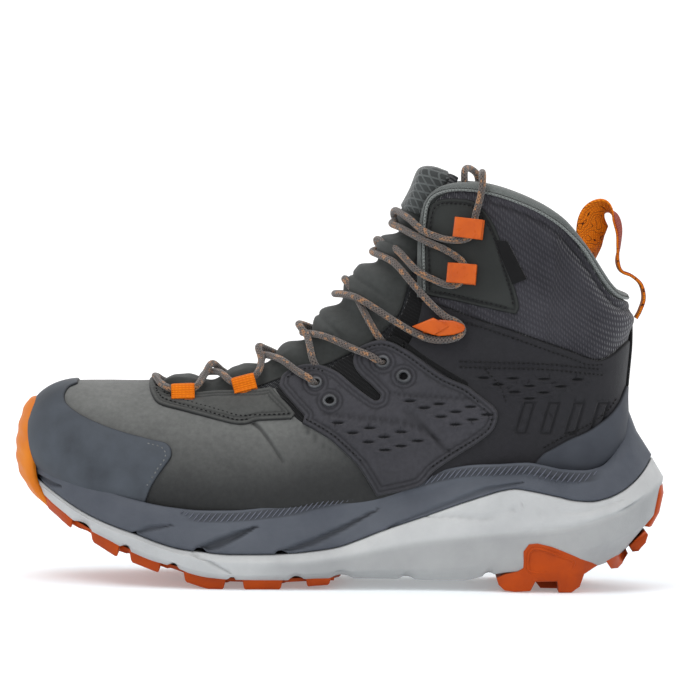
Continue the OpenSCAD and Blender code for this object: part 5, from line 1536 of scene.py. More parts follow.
# ------------------------------------------------------------------ stuffing
def swell(q, tri, top, bottom, wanted_q, most, pressure=4.0):
    """how far a stuffed cover, sewn down along its rim, rises above its form: a cloth simulation on a
    coarse closed copy, measured along the skin at other places; at most the given millimetres"""
    n = len(q)
    start = skin(q, top)
    verts = np.vstack([start, skin(q, bottom)])
    me = bpy.data.meshes.new("pad_form")
    me.from_pydata((verts * MM).tolist(), [], closed_faces(tri, n).tolist())
    form = bpy.data.objects.new("pad_form", me)
    bpy.context.scene.collection.objects.link(form)
    sewn = form.vertex_groups.new(name="sewn")
    sewn.add(np.unique(np.concatenate([rim(tri).ravel(), np.arange(n, 2 * n)])).tolist(), 1.0, "REPLACE")
    cloth = form.modifiers.new("cover", "CLOTH").settings
    cloth.quality = 6
    cloth.mass = 0.2
    cloth.use_pressure = True
    cloth.uniform_pressure_force = pressure
    cloth.vertex_group_mass = "sewn"
    cloth.bending_stiffness = 0.3
    cloth.effector_weights.gravity = 0
    for frame_no in range(1, 21):
        bpy.context.scene.frame_set(frame_no)
    graph = bpy.context.evaluated_depsgraph_get()
    done = form.evaluated_get(graph).to_mesh()
    after = np.zeros(len(done.vertices) * 3)
    done.vertices.foreach_get("co", after)
    after = after.reshape(-1, 3)[:n] / MM
    bpy.context.scene.frame_set(1)
    bpy.data.objects.remove(form)
    rise = np.clip(((after - start) * outward(q[:, 0], q[:, 1])).sum(1), 0, most)
    tree = KDTree(n)
    for k, p in enumerate(section(q[:, 0], q[:, 1])):
        tree.insert(p, k)
    tree.balance()
    out = np.zeros(len(wanted_q))
    for k, p in enumerate(section(wanted_q[:, 0], wanted_q[:, 1])):
        near = tree.find_n(p, 6)
        w = np.array([1 / (d + 0.4) ** 2 for _, _, d in near])
        out[k] = (w * rise[[i for _, i, _ in near]]).sum() / w.sum()
    return out


# ------------------------------------------------------------------ collar
def back_dip(p, lower):
    """keeps what is under the shallow saddle at the back of the collar"""
    dip = 146 - lower + 13 * (p[:, 1] / 20) ** 2
    return np.where(p[:, 0] > 104, p[:, 2] - dip, -99)


collar_region = region(COLLAR_INNER + COLLAR_LINE[::-1])
collar_field = both(collar_region, lambda p, n: back_dip(p, 4))
seam_line = rounded(COLLAR_LINE, 4, 60, closed=False)
inner_line = rounded(COLLAR_INNER, 4, 60, closed=False)
PAD_LINE = rounded([[40, 143.5], [60, 139], [84, 133], [92, 131.5], [100, 132], [112, 138], [124, 134],
                    [138, 134]],
                   4, 60, closed=False)
ROLL_LINE = rounded([[66, 186.5], [85, 180.5], [98, 174], [108, 165], [117, 154], [124, 144.5], [131, 137],
                     [140, 134]],
                    4, 60, closed=False)


# painted shade along the collar's creases: under the top roll, along the pad line and at the seam
def collar_crease_shade(p):
    pad = beside(p, PAD_LINE)
    roll = beside(p, ROLL_LINE)
    low = beside(p, seam_line)
    return np.maximum.reduce([0.7 * np.exp(-(roll / 0.8) ** 2) * ease((p[:, 0] - 64) / 10),
                              0.8 * np.exp(-(pad / 0.9) ** 2) * ease((86 - p[:, 0]) / 8),
                              0.9 * np.exp(-(low / 0.9) ** 2)])


def collar_relief(p, f):
    low = beside(p, seam_line)
    high = beside(p, inner_line)
    pad = beside(p, PAD_LINE)
    roll = beside(p, ROLL_LINE)
    h = 1.9 * ease(low / 9) * ease(high / 9) - 0.8
    h += 0.9 * np.exp(-((roll - 4) / 4) ** 2) * ease((p[:, 0] - 64) / 14)
    h -= 0.8 * np.exp(-(roll / 1.1) ** 2) * ease((p[:, 0] - 64) / 10)
    h -= 0.7 * np.exp(-(pad / 1.0) ** 2) * ease((86 - p[:, 0]) / 8)
    return h + uneven(p, 16, 0.25, 3)


q, tri, p, f = surface(collar_field, BACK, cell=2.2, fine=1.2, levels=(-0.6, -1.5))
coarse_q, coarse_tri = patch(collar_field, BACK, cell=6, fine=4.5, near=0.5)
coarse_p, _ = skin_at(coarse_q)
rise = swell(coarse_q, coarse_tri, -0.8, lining_level(coarse_p), q, 1.6)
top = collar_relief(p, f) + 0.7 * rise - 0.6 * (1 - rolled(f, 1, 1.5, 0.1))
inner_depth = lining_level(p) + 0.35
collar = shell("collar_padding", q, tri, top, inner_depth, "boot", MESH, collar_crease_shade(p), slot="textile",
               replaces=["collar_textile", "collar_foam"])

for side in SIDES:
    facing_field = both(region(HOOK_FACING), y_side(side))
    overlay("facing_%s_panel" % SIDE_NAME[side], facing_field, HALF[side], FACING, "facing",
            ["facing_%s" % SIDE_NAME[side]], 1.3, 0.9, stitch=(2.0,),
            extra=lambda p, f: collar_relief(p, f) * 0.5 + uneven(p, 9, 0.12), bottom=-0.9)


def collar_edge():
    """the collar's top edge, from the front of the outer side round the back to the front of the inner one"""
    line = rounded([p for p in COLLAR_TOP if p[0] < 123], 4, 60, closed=False)
    side = locate(line[:, 0], line[:, 1], OUTER)
    top = np.array(COLLAR_TOP[12:], float)

    def above(p):
        return max(back_dip(p, 0)[0], p[0, 2] - np.interp(p[0, 0], top[:, 0], top[:, 1]))

    back = []
    for ang in np.linspace(side[-1, 1], 2 * math.pi - side[-1, 1], 42)[1:-1]:
        low, high = 8.0, LAST - 0.05
        for _ in range(30):
            mid = (low + high) / 2
            if above(section(np.array([mid]), np.array([ang]))) > 0:
                high = mid
            else:
                low = mid
        back.append([low, ang])
    return np.vstack([side, back, np.stack([side[::-1, 0], 2 * math.pi - side[::-1, 1]], 1)])


def collar_binding():
    """folded binding along the collar's edge, and a thin cord laid under it"""
    edge_q = collar_edge()
    edge_p = section(edge_q[:, 0], edge_q[:, 1])
    run = run_along(edge_p)
    count = int(run[-1] / 1.6)
    s = np.linspace(0, run[-1], count)
    edge_q = np.stack([np.interp(s, run, edge_q[:, k]) for k in range(2)], 1)
    kernel = np.hanning(15)
    kernel /= kernel.sum()
    padded_q = np.pad(edge_q, ((7, 7), (0, 0)), mode="edge")
    edge_q = np.stack([np.convolve(padded_q[:, k], kernel, mode="valid") for k in range(2)], 1)
    edge_p = section(edge_q[:, 0], edge_q[:, 1])
    edge_n = outward(edge_q[:, 0], edge_q[:, 1])
    way = tangents(edge_p)
    down = np.cross(way, edge_n)
    down *= np.sign(down[len(down) // 4, 2]) * -1
    depth = UPPER_T + room(edge_p) + LINING_T
    lap_out, lap_in = 3.4, 4.4
    verts, st = [], []
    for i in range(count):
        d = depth[i]
        mid = (1.1 - d) / 2
        half_t = (1.1 + d) / 2
        fold = half_t * 0.75
        ring_pts = []
        for t in np.linspace(0, 1, 7):
            bulge = 0.35 * math.sin(math.pi * t)
            ring_pts.append((lap_out * (1 - t) + fold * t, -0.9 + (1.75 + bulge) * ease(t * 2)))
        for ang in np.linspace(0, math.pi, 13)[1:-1]:
            ring_pts.append((fold * (1 - math.sin(ang)), mid + half_t * math.cos(ang)))
        for t in np.linspace(0, 1, 6):
            inward = -d - 0.25 * math.sin(math.pi * t) + 0.3 * t
            ring_pts.append((fold * (1 - t) + lap_in * t, inward))
        ring_pts.append((lap_in, -d + 1.2))
        ring_pts.append((lap_out + 0.3, -UPPER_T))
        for low, off in ring_pts:
            verts.append(edge_p[i] + down[i] * low + edge_n[i] * off)
        lens = np.cumsum([0] + [math.hypot(b[0] - a[0], b[1] - a[1]) for a, b in zip(ring_pts, ring_pts[1:])])
        st += [[l, s[i]] for l in lens]
    m = len(ring_pts)
    faces = []
    for i in range(count - 1):
        for k in range(m):
            a, b = i * m + k, i * m + (k + 1) % m
            faces.append([a, b, b + m, a + m])
    faces.append(list(range(m))[::-1])
    faces.append([(count - 1) * m + k for k in range(m)])
    bind = add("collar_binding_fold", np.array(verts), faces, "boot", BINDING, slot="binding",
               replaces=["collar_binding"], st=np.array(st))
    face_outward(bind)

    # thin cord laid under the binding
    piping = edge_p + down * 4.2 + edge_n * 0.3
    tube("collar_piping_cord", piping[2:-2], 0.75, PIPING, "binding", [], 8, 1.2)


collar_binding()

# dark knit between the tongue and the front of the collar
GORE = [[16, 104], [27, 110], [36, 117], [41, 124], [42, 142], [37, 152], [33, 146], [29, 134], [22, 121],
        [14, 112]]
for side in SIDES:
    q, tri = patch(both(region(GORE, 4, 60), y_side(side)), HALF[side], cell=2.4, fine=1.4, near=1.0)
    shell("gusset_throat_%s" % SIDE_NAME[side], q, tri, -1.75, -2.4, "boot", GUSSET_AND_GAP_SHADE, slot="textile")

# lining, seen inside the mouth
lining_region = region(THROAT_LINE + COLLAR_INNER + [[150, 10], [-200, 10], [-200, 110]])
lining_field = both(lining_region, lambda p, n: back_dip(p, 5))
q, tri = patch(lining_field, BACK, cell=3.6, fine=2.0)
p, n = skin_at(q)
lined = lining_level(p)
shell("lining_knit_sock", q, tri, lined + 0.1, lined - LINING_T, "boot", LINING, slot="lining",
      replaces=["lining_sock"])

# label, blank
label_field = both(region(LABEL_EDGE, 3, 20), y_side(OUTER))
q, tri, p, f = surface(label_field, HALF[OUTER], cell=1.5, fine=0.8, near=1.0, levels=(-0.3,))
shell("side_label_blank", q, tri, 1.5 + rolled(f, 0.5, 0.3, 0.4), 0.6, "boot", LABEL, slot="label",
      replaces=["side_label"])


# ------------------------------------------------------------------ tongue
CROSSINGS = [5.15, 6.5, 7.8, 8.95, 10.25, 12.0, 13.3]


def throat_at(u):
    return np.interp(u, np.arange(LAST + 1), THROAT)


def tongue_height(u, t):
    """height of the padded middle: pressed where the lace crosses, swollen between"""
    near = np.min(np.abs(u[:, None] - np.array(CROSSINGS)), axis=1)
    puff = ease(near / 0.55)
    high = -2.0 + puff * (4.2 + 1.6 * ease((u - 8) / 4))
    high = np.where(u > 13.6, np.maximum(high, 1.6 + 1.2 * ease((u - 14.2) / 1.2)), high)
    high -= 1.4 * np.exp(-((u - 14.05) / 0.07) ** 2) + 1.0 * np.exp(-((u - 11.1) / 0.06) ** 2)
    high -= 0.8 * np.exp(-((u - 12.7) / 0.05) ** 2) + 0.8 * np.exp(-((u - 9.6) / 0.05) ** 2)
    return high


def tongue_part(name, u0, u1, reach, top, bottom, material, slot, replaces, n_u=150, n_t=49, round_end=0.0,
                puff=0.0):
    us = np.linspace(u0, u1, n_u)
    ts = np.linspace(-1, 1, n_t)
    gu, gt = np.meshgrid(us, ts, indexing="ij")
    gu, gt = gu.ravel(), gt.ravel()
    u = gu - round_end * ease((gu - u0) / (u1 - u0)) * np.abs(gt) ** 3
    ph = np.radians(reach(u)) * gt
    q = np.stack([u, ph], 1)
    i = (np.arange(n_u - 1)[:, None] * n_t + np.arange(n_t - 1)).ravel()
    tri = np.vstack([np.stack([i, i + n_t, i + 1], 1), np.stack([i + 1, i + n_t, i + n_t + 1], 1)])
    p = section(q[:, 0], q[:, 1])
    nor = np.cross(p[tri[:, 1]] - p[tri[:, 0]], p[tri[:, 2]] - p[tri[:, 0]])
    flipped = (nor * outward(q[:, 0], q[:, 1])[tri[:, 0]]).sum() < 0
    if flipped:
        tri = tri[:, ::-1]
    under = lining_level(p) - LINING_T - 1.3
    end = np.clip((gu - u0) / (u1 - u0), 0, 1)
    high = top(u, gt, under, end)
    if puff:
        # the coarse form takes every sixth row and column
        ci = (np.arange(0, n_u, 6)[:, None] * n_t + np.arange(0, n_t, 6)).ravel()
        wide = len(range(0, n_t, 6))
        k = (np.arange(len(range(0, n_u, 6)) - 1)[:, None] * wide + np.arange(wide - 1)).ravel()
        form = np.vstack([np.stack([k, k + wide, k + 1], 1), np.stack([k + 1, k + wide, k + wide + 1], 1)])
        if flipped:
            form = form[:, ::-1]
        deep = bottom(u[ci], gt[ci], under[ci], end[ci]) - 1.5
        high = high + 0.6 * swell(q[ci], form, high[ci], deep, q, puff)
    piece = shell(name, q, tri, high, bottom(u, gt, under, end), "tongue", material,
                  slot=slot, replaces=replaces)
    return piece


def shell_top(u, t, under, end, high_end=False):
    bump = ease((1 - np.abs(t)) / 0.45) ** 0.8
    lip = np.sqrt(np.maximum(0.0, 1 - np.clip((end - 0.72) / 0.28, 0, 1) ** 2.6)) if high_end else 1.0
    return (under + 0.2 + (tongue_height(u, t) - under) * bump) * lip + (under + 0.2) * (1 - lip)


def cover_reach(u):
    return np.maximum(2.5, throat_at(u) - 2.0) + 1.0


tongue_part("tongue_shell_padded", 5.2, 14.08, cover_reach, shell_top, lambda u, t, under, end: under - 0.3,
            BLADE, "tongue_shell", ["tongue_cover"], n_u=230, puff=1.4)
tongue_part("tongue_top_ripstop", 14.02, 16.75, lambda u: cover_reach(u) + 3.0 * ease((u - 14) / 1.5),
            lambda u, t, under, end: shell_top(u, t * 0.93, under, end, True) + 0.15,
            lambda u, t, under, end: under - 0.4, TONGUE, "tongue_shell", [], n_u=70, round_end=0.5)


def blade_reach(u):
    return np.interp(u, [5, 6, 8, 10, 11, 12, 13, 14, 17], [22, 40, 45, 50, 48, 42, 37, 33, 30])


tongue_part("tongue_blade_padded", 5.3, 16.6, blade_reach, lambda u, t, under, end: under - 0.35,
            lambda u, t, under, end: under - 0.6 - 2.4 * np.clip((1 - np.abs(t)) / 0.15, 0, 1) ** 0.5
            * (1 - 0.7 * np.clip((end - 0.96) / 0.04, 0, 1)),
            LINING, "tongue_lining", ["tongue_pad"], n_u=120, n_t=35, round_end=0.4)


# ------------------------------------------------------------------ footbed
FOOT_TOP = [
    [-150, 66], [-136, 58], [-120, 48], [-100, 41], [-80, 36.5], [-60, 34.5], [-30, 35],
    [0, 38], [30, 42.5], [60, 48], [90, 54], [120, 58], [140, 61]]


def floor_level(p, n):
    return p + n * (lining_level(p) - LINING_T - 0.6)[:, None]


def bed_field(p, n):
    low = floor_level(p, n)
    return np.maximum(low[:, 2] - height_on(FOOT_TOP, low[:, 0]) + 0.4, -15)


q, tri = patch(bed_field, BACK, stations=(0.8, 13.4), cell=3.2, fine=1.8, near=3)
p, n = skin_at(q)
low = floor_level(p, n)
top = low.copy()
edge = np.clip(-bed_field(p, n), 0, 30)
top[:, 2] = np.minimum(height_on(FOOT_TOP, low[:, 0]) + 0.1, low[:, 2] + 0.5 + edge)
# the inner face looks up, so the faces are turned round
faces = closed_faces(tri, len(q))[:, ::-1]
bed = add("footbed_sock", np.vstack([top, low]), faces, "footbed", FOOTBED, slot="footbed",
          replaces=["footbed"], st=np.vstack([top[:, [0, 1]], low[:, [0, 1]]]))


# ------------------------------------------------------------------ hardware
def on_skin(at, out, run, side):
    """local axes: x along run, y across, z outward"""
    n = np.array(out, float) / np.linalg.norm(out)
    x = np.array(run, float) - n * (np.array(run, float) @ n)
    x /= np.linalg.norm(x)
    y = np.cross(n, x)

    def move(local):
        local = np.asarray(local, float)
        w = np.array(at, float) + local[:, :1] * x + local[:, 1:2] * y + local[:, 2:3] * n
        return mirrored(w, side)
    return move


def prism(profile, y0, y1):
    """profile in (x, z) pushed along y"""
    p = np.asarray(profile, float)
    n = len(p)
    verts = np.vstack([np.column_stack([p[:, 0], np.full(n, y), p[:, 1]]) for y in (y0, y1)])
    faces = [[k, (k + 1) % n, n + (k + 1) % n, n + k] for k in range(n)]
    faces += [list(range(n))[::-1], [n + k for k in range(n)]]
    return verts, faces


def moved(part, move):
    return move(part[0]), part[1]


HOOK_W = 9.5


def speed_hooks(side):
    """two hooks a side: a post on a plate, with a hooked top"""
    for k, (at, out, run_dir) in enumerate((
            ([51.5, -28.4, 151.3], [-0.24, -0.96, 0.1], [1, -0.24, -0.05]),
            ([55, -27.2, 173.4], [-0.33, -0.94, 0.07], [1, -0.33, -0.09]))):
        at = np.array(at) + np.array(out) / np.linalg.norm(out) * 1.2
        move = on_skin(at, out, run_dir, side)
        w = HOOK_W / 2
        top = [[0.2, 5.5], [12.6, 5.5], [14.2, 5.9], [14.2, 6.9], [12.4, 7.7], [9.2, 8.0], [4.2, 8.0],
               [1.4, 7.4], [-0.2, 6.4]]
        parts = [moved(prism(top, -w, w), move),
                 moved(prism([[-0.2, 0], [-0.2, 6.2], [1.8, 6.2], [1.8, 0]], -2.4, 2.4), move),
                 moved(prism([[-1, -0.3], [-1, 0.6], [12.5, 0.9], [13, 0.2], [13, -0.3]], -w, w), move)]
        node = "speed_hook_%s_%d" % (SIDE_NAME[side], k + 1)
        hook = joined(node + "_body", parts, "boot", HOOK, slot="hook", replaces=[node])
        soften(hook, 0.75, 3, 25)


def lock_hook(side):
    """lower hook: a lens-shaped jaw on a longer tail"""
    move = on_skin([36, -26.6, 124.9], [-0.2, -0.97, 0.14], [1, -0.2, 0], side)
    tail = np.array([[7, -3.2], [12, -4.3], [19, -3.5], [23.6, -1.8], [24.6, 0], [23.6, 1.7], [19, 3.3],
                     [12, 3.6], [7, 2.6]])
    lens = np.array([[-1.2, -0.1], [4, -2.2], [9.6, -4.0], [13, -2.2], [17, 0.6], [13, 2.6], [9, 4.4],
                     [4, 2.2]])

    def plate(outline, low, high, way_in):
        n = len(outline)
        mid = outline.mean(0)
        rings_at = [(1.0, low), (1.0, high - 0.5), (way_in, high)]
        v = np.vstack([np.column_stack([mid + (outline - mid) * k, np.full(n, z)]) for k, z in rings_at])
        f = [[r * n + k, r * n + (k + 1) % n, (r + 1) * n + (k + 1) % n, (r + 1) * n + k]
             for r in range(2) for k in range(n)]
        return v, f + [list(range(n))[::-1], [2 * n + k for k in range(n)]]
    parts = [moved(plate(tail, 5.8, 7.2, 0.86), move), moved(plate(lens, 6.6, 8.3, 0.82), move),
             moved(prism([[4.5, 0], [4.5, 6.6], [15.5, 6.6], [15.5, 0]], -1.9, 1.9), move),
             moved(prism([[3, -0.2], [3, 1.0], [18, 1.2], [19, -0.2]], -2.6, 2.6), move)]
    lock = joined("lock_hook_%s_body" % SIDE_NAME[side], parts, "boot", HOOK, slot="hook",
                  replaces=["lock_hook_%s" % SIDE_NAME[side]])
    soften(lock, 0.5, 2, 20)


def lace_loops(side):
    """webbing loops that carry the lace across the toe of the throat"""
    for k, (at, out, run_dir) in enumerate((([-75.5, -20.8, 90.4], [-0.05, -0.49, 0.87], [1, 0, 0.05]),
                                            ([-46, -19.6, 95], [-0.22, -0.58, 0.8], [1, 0, 0.3]))):
        move = on_skin(at, out, run_dir, side)
        path = [[-5.6, 1.7], [-4.2, 2.2], [-2.9, 3.6], [-1.6, 5.0], [0.2, 5.6], [2.0, 4.7], [2.75, 2.9],
                [2.1, 1.1], [0.3, 0.35], [-2.0, 0.6], [-4.0, 0.7], [-5.6, 0.5]]
        line = cubic(path, np.linspace(0, len(path) - 1, 56))
        way = tangents(line)
        nor = np.stack([-way[:, 1], way[:, 0]], 1)
        xs = np.linspace(-5.6, 5.6, 13)
        verts, st = [], []
        run = run_along(line)
        for half_t in (0.5, -0.5):
            for i in range(len(line)):
                for x in xs:
                    edge_thin = 1 - 0.5 * (abs(x) / 5.6) ** 8
                    c = line[i] + nor[i] * half_t * edge_thin
                    verts.append([x, c[0], c[1]])
                    st.append([run[i], x])
        faces = double_sheet(len(line), len(xs), turned=True)
        node = "lace_loop_%s_%d" % (SIDE_NAME[side], k + 1)
        obj = add(node + "_tape", move(np.array(verts)), faces, "boot", TAPE, slot="webbing",
                  replaces=[node], st=np.array(st))
        if side == INNER:
            obj.data.flip_normals()


for side in SIDES:
    speed_hooks(side)
    lock_hook(side)
    lace_loops(side)

# eyelets: rolled rings, with a dark disc in each hole as painted shade inside it
EYELET_SEATS = [[-12, -27.8, 97, -11, 34], [-5, -33.7, 89, -6, 28], [20, -28.6, 108, -9, 19.5],
                [30, -31.9, 101.5, -5, 16]]
AROUND = 40                  # sides of a ring
OVAL = 1.12                  # how much longer it is than wide
RING_PROFILE = [[1.75, -0.6], [1.75, 1.9], [1.95, 2.3], [2.4, 2.5], [2.9, 2.4], [3.25, 2.05], [3.3, 1.5],
                [2.6, 1.3], [2.5, -0.6]]


def eyelets(side):
    parts, discs = [], []
    for x, y, z, turn, tilt in EYELET_SEATS:
        t, c = math.radians(turn), math.radians(90 - tilt)
        a = np.linspace(0, 2 * math.pi, AROUND + 1)[:-1]
        verts = np.array([[r * math.cos(b) * OVAL, r * math.sin(b), h] for b in a for r, h in RING_PROFILE])
        m = len(RING_PROFILE)
        faces = []
        for i in range(AROUND):
            for k in range(m):
                here, on = i * m, (i + 1) % AROUND * m
                faces.append([here + k, on + k, on + (k + 1) % m, here + (k + 1) % m])
        # painted shade: a dark disc closing the hole
        disc = np.array([[1.9 * math.cos(b) * OVAL, 1.9 * math.sin(b), h] for h in (-0.2, 0.35) for b in a])
        disc_faces = [list(range(AROUND))[::-1], [AROUND + i for i in range(AROUND)]]
        disc_faces += [[i, (i + 1) % AROUND, AROUND + (i + 1) % AROUND, AROUND + i] for i in range(AROUND)]
        turn_x = np.array([[1, 0, 0], [0, math.cos(c), -math.sin(c)], [0, math.sin(c), math.cos(c)]])
        turn_z = np.array([[math.cos(t), -math.sin(t), 0], [math.sin(t), math.cos(t), 0], [0, 0, 1]])
        for v, f, bag in ((verts, faces, parts), (disc, disc_faces, discs)):
            bag.append((mirrored(v @ (turn_z @ turn_x).T + [x, y, z], side), f))
    joined("eyelets_%s_rings" % SIDE_NAME[side], parts, "boot", METAL, smooth=True, slot="eyelet_metal",
           replaces=["eyelets_%s" % SIDE_NAME[side]])
    joined("eyelets_%s_barrels" % SIDE_NAME[side], discs, "boot", GUSSET_AND_GAP_SHADE, slot="eyelet_metal")


for side in SIDES:
    eyelets(side)


# ------------------------------------------------------------------ pull loop at the heel
def contour_tape(name, dark, light, line_color):
    """tape printed with thin wandering contour lines"""
    m = Finish(name, 0.7, Sheen_Weight=0.05, Sheen_Roughness=0.4, Specular_IOR_Level=0.15)
    field = m.noise(0.085, 2, 0.4, stored=True)
    bands = m.math("PINGPONG", m.math("MULTIPLY", field, 13.0), 0.5)
    lines = m.span(bands, 0.03, 0.08, 1, 0)
    rib = m.math("MULTIPLY", m.wave(0.9, 0), m.wave(1.4, 1))
    m.color(m.mix(lines, m.mix(rib, dark, light), line_color))
    m.bump(rib, 0.2).bump(lines, 0.12)
    return m.mat


LOOP_IN = contour_tape("tape_contours", rgb(204, 100, 6), rgb(236, 140, 24), rgb(70, 26, 4))
# plain red back of the tape, given as dark as it looks in shade: its own red together with painted shade
LOOP_OUT = webbing("tape_back", rgb(106, 24, 0), rgb(156, 48, 4))
# each row: a point of the strap's middle, and the direction across it
LOOP_LINE = [
    [[116.8, 0, 141.5], [0, 1, 0]], [[118, 0, 149.5], [0, 1, 0]], [[119.2, 0, 157], [0.25, 1, 0]],
    [[119.8, -0.5, 164.5], [0.7, 0.9, 0.1]],
    [[119.5, -1, 172], [1, 0.6, 0.1]], [[121.5, -1, 179], [1, 0.5, -0.1]], [[126, -0.5, 182.5],
    [0.7, 0.8, -0.4]],
    [[130.5, 0, 180], [0.4, 1, -0.3]], [[133, 0.3, 173], [0.2, 1, 0]], [[133, 0.3, 165], [0.1, 1, 0]],
    [[132.6, 0.2, 158], [0, 1, 0]], [[134.5, 0, 153.2], [0, 1, 0]], [[139.5, 0, 151], [0, 1, 0]],
    [[144, 0, 147], [0, 1, 0]], [[145.6, 0, 140.5], [0, 1, 0]], [[144, 0, 134.5], [0, 1, 0]],
    [[142, 0, 130.5], [0, 1, 0]]]
STRAP_WIDTH = 17.0


def pull_loop():
    """webbing strap, printed on one side and plain on the other"""
    centre = np.array([row[0] for row in LOOP_LINE], float)
    across_way = np.array([row[1] for row in LOOP_LINE], float)
    t = np.linspace(0, len(centre) - 1, 180)
    line, across_way = cubic(centre, t), cubic(across_way, t)
    way = tangents(line)
    across_way -= way * (across_way * way).sum(1)[:, None]
    across_way /= np.linalg.norm(across_way, axis=1)[:, None]
    nor = np.cross(way, across_way)
    run = run_along(line)
    width = STRAP_WIDTH * (1 - 0.3 * (1 - ease(run / 18)) - 0.25 * (1 - ease((run[-1] - run) / 14)))
    cols = np.linspace(-0.5, 0.5, 25)
    verts, st = [], []
    for half_t in (0.75, -0.75):
        for i in range(len(line)):
            for c in cols:
                thin = 1 - 0.55 * abs(2 * c) ** 10 + 0.12 * (abs(abs(2 * c) - 0.86) < 0.07)
                verts.append(line[i] + across_way[i] * c * width[i] + nor[i] * half_t * thin)
                st.append([run[i], c * width[i]])
    faces = double_sheet(len(line), len(cols))
    half = len(line) * len(cols)
    pull = add("heel_loop_tape", np.array(verts), faces, "heel_loop", LOOP_IN, slot="webbing",
               replaces=["heel_loop"], st=np.array(st))
    pull.data.materials.append(LOOP_OUT)
    pull.data.update()
    for poly in pull.data.polygons:
        if max(poly.vertices) < half:
            poly.material_index = 1


pull_loop()


# ------------------------------------------------------------------ stitching
def stitch_row(line, side, lift, pitch=2.3, size=1.5, wide=0.42):
    """thread lying along a line on the skin: line in side view, lift above the skin"""
    line = rounded(line, 6, 70, closed=False)
    at = locate(line[:, 0], line[:, 1], side)
    p = section(at[:, 0], at[:, 1])
    run = run_along(p)
    parts = []
    for s in np.arange(pitch / 2, run[-1], pitch):
        ss = s + np.linspace(-size / 2, size / 2, 5)
        q = np.stack([np.interp(ss, run, at[:, k]) for k in range(2)], 1)
        c, n = skin_at(q)
        b = np.cross(tangents(c), n)
        verts = []
        for k in range(5):
            e = abs(k - 2) / 2
            r = wide * (1 - 0.55 * e ** 2)
            h = lift - 0.28 * e ** 2
            for a in range(6):
                t = a * math.pi / 3
                verts.append(c[k] + n[k] * (h + r * math.sin(t)) + b[k] * r * math.cos(t))
        faces = [[k * 6 + a, k * 6 + (a + 1) % 6, (k + 1) * 6 + (a + 1) % 6, (k + 1) * 6 + a]
                 for k in range(4) for a in range(6)]
        faces += [list(range(6))[::-1], [24 + a for a in range(6)]]
        parts.append((np.array(verts), faces))
    return parts


def stitches(name, rows, material):
    parts = []
    for side in SIDES:
        for line, lift in rows:
            parts += stitch_row(line, side, lift)
    return joined(name, parts, "boot", material, smooth=True, slot="textile")


EYESTAY_ROW = [[-88.9, 96], [-88.6, 92], [-85.4, 88.3], [-74.6, 85.2], [-59.6, 81.7], [-49.5, 79.2],
               [-44, 79.6]]
EYESTAY_ROW_2 = [[-87, 95.5], [-86.6, 93], [-84, 90.2], [-74.2, 87.2], [-59.2, 83.7], [-48.5, 81.2],
                 [-41, 81.6],
                 [-30, 82.2], [-24, 82.8]]
stitches("stitching_eyestay", [(EYESTAY_ROW, 1.2), (EYESTAY_ROW_2, 1.2)], THREAD_DARK)
stitches("stitching_toe", [([[-92, 68], [-84.5, 66], [-82.6, 62], [-86, 56.6], [-91, 48.6]], 1.15)], THREAD)
REAR_ROWS = [([[56, 109.5], [80, 109.3], [100, 109], [124, 106.8]], 0.3),
             ([[56, 106.9], [80, 106.7], [100, 106.4], [126, 104]], 0.3),
             ([[50, 130.5], [66, 126.2], [80, 121.8], [95, 116.8], [110, 111.8], [118, 109], [126, 109]],
               0.3),
             ([[68, 107], [76, 98], [79, 91]], 0.3),
             ([[97, 68.6], [102, 71.6], [110, 76], [118, 79.6], [124, 83.6], [129, 88], [132.5, 93]], 0.3)]
stitches("stitching_rear", REAR_ROWS, THREAD_DARK)
stitches("stitching_saddle", [
    ([[-26, 98.5], [-22.5, 101], [-17.5, 103.2], [-12, 103.6], [-8, 102.4]], 1.55),
    ([[9, 112], [13, 114.6], [18.5, 116], [23, 115.6], [27.5, 113.6], [34, 109.6], [41, 104.7], [49, 99.8],
      [58.6, 95.9], [63.2, 92.6], [67.8, 88.2], [71, 85], [72.4, 83.6], [71.6, 79.6], [69.8, 76.4],
      [63.2, 71.8],
      [53.6, 66], [44, 59.4]], 1.55),
    ([[-17, 80.6], [-11, 77.8], [-4, 73.8], [1, 70], [10.5, 61.6]], 1.55)], THREAD_DARK)
stitches("stitching_facing", [
    ([[42, 142.5], [41.8, 166], [42.8, 175.4], [44.4, 181.6], [48, 184.2], [55, 184.6], [61.2, 183.8],
      [66.2, 179.4], [69.8, 174], [72.8, 167.4], [76.8, 154.4], [80.6, 142.8], [81.6, 137]], 2.3),
    ([[79, 135.2], [75, 136.4], [60.4, 139.4], [50.4, 141.4], [43, 142.2]], 2.3)], THREAD_DARK)


# ------------------------------------------------------------------ inner parts that stay as CAD nodes
for node, material in (("strobel_board", BOARD), ("toe_puff", STIFFENER), ("heel_counter", STIFFENER)):
    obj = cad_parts[node]
    obj.data.materials.clear()
    obj.data.materials.append(material)


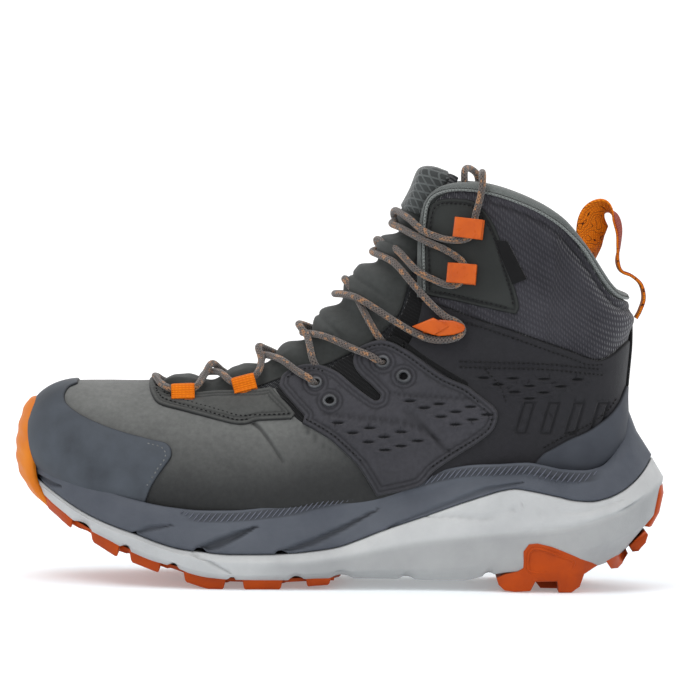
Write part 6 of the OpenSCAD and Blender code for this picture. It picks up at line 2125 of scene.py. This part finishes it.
# ------------------------------------------------------------------ stage
def floor_and_light():
    # one sheet: flat under the boot, swept up all round it
    me = bpy.data.meshes.new("floor")
    sweep = [(1.0, 0.0), (2.5, 0.0), (4.0, 0.0)]
    sweep += [(4.0 + 1.5 * math.sin(a), 1.5 - 1.5 * math.cos(a)) for a in np.linspace(0.1, math.pi / 2, 12)]
    sweep += [(5.5, 4.0)]
    turns = 48
    verts = [(r * math.cos(k * 2 * math.pi / turns), r * math.sin(k * 2 * math.pi / turns), z)
             for r, z in sweep for k in range(turns)]
    faces = [list(range(turns))]
    for i in range(len(sweep) - 1):
        for k in range(turns):
            a, b = i * turns + k, i * turns + (k + 1) % turns
            faces.append([a, a + turns, b + turns, b])
    me.from_pydata(verts, [], faces)
    obj = bpy.data.objects.new("floor", me)
    bpy.context.scene.collection.objects.link(obj)
    m = Finish("studio_paper", 0.9, Specular_IOR_Level=0.1, Emission_Color=(1, 1, 1, 1))
    away = m.node("ShaderNodeVectorMath", Vector=m.place((1, 1, 0)), _operation="LENGTH").outputs["Value"]
    m.color(m.mix(m.span(away, 0.3, 1.3), (0.78, 0.83, 0.87, 1), (0.4, 0.4, 0.4, 1)))
    glow = m.span(away, 0.3, 1.3, 0.24, 0.85)
    m.feed(m.bsdf.inputs["Emission Strength"], glow)
    me.materials.append(m.mat)
    world = bpy.data.worlds.new("studio")
    bpy.context.scene.world = world
    world.use_nodes = True
    world.node_tree.nodes["Background"].inputs["Color"].default_value = (1, 1, 1, 1)
    world.node_tree.nodes["Background"].inputs["Strength"].default_value = 0.3
    for name, place, size, power in (
            ("key", (-0.6, -1.0, 1.6), 1.0, 10), ("fill", (1.0, -1.3, 0.9), 1.4, 2),
            ("back", (0.3, 1.4, 1.4), 1.2, 8), ("top", (0, -0.1, 1.8), 1.4, 13)):
        data = bpy.data.lights.new(name, "AREA")
        data.size = size
        data.energy = power
        light = bpy.data.objects.new(name, data)
        light.location = place
        light.rotation_mode = "QUATERNION"
        light.rotation_quaternion = (Vector(place) - Vector((0, 0, 0.09))).to_track_quat("Z", "Y")
        bpy.context.scene.collection.objects.link(light)


floor_and_light()
bpy.context.scene.view_settings.view_transform = "Standard"
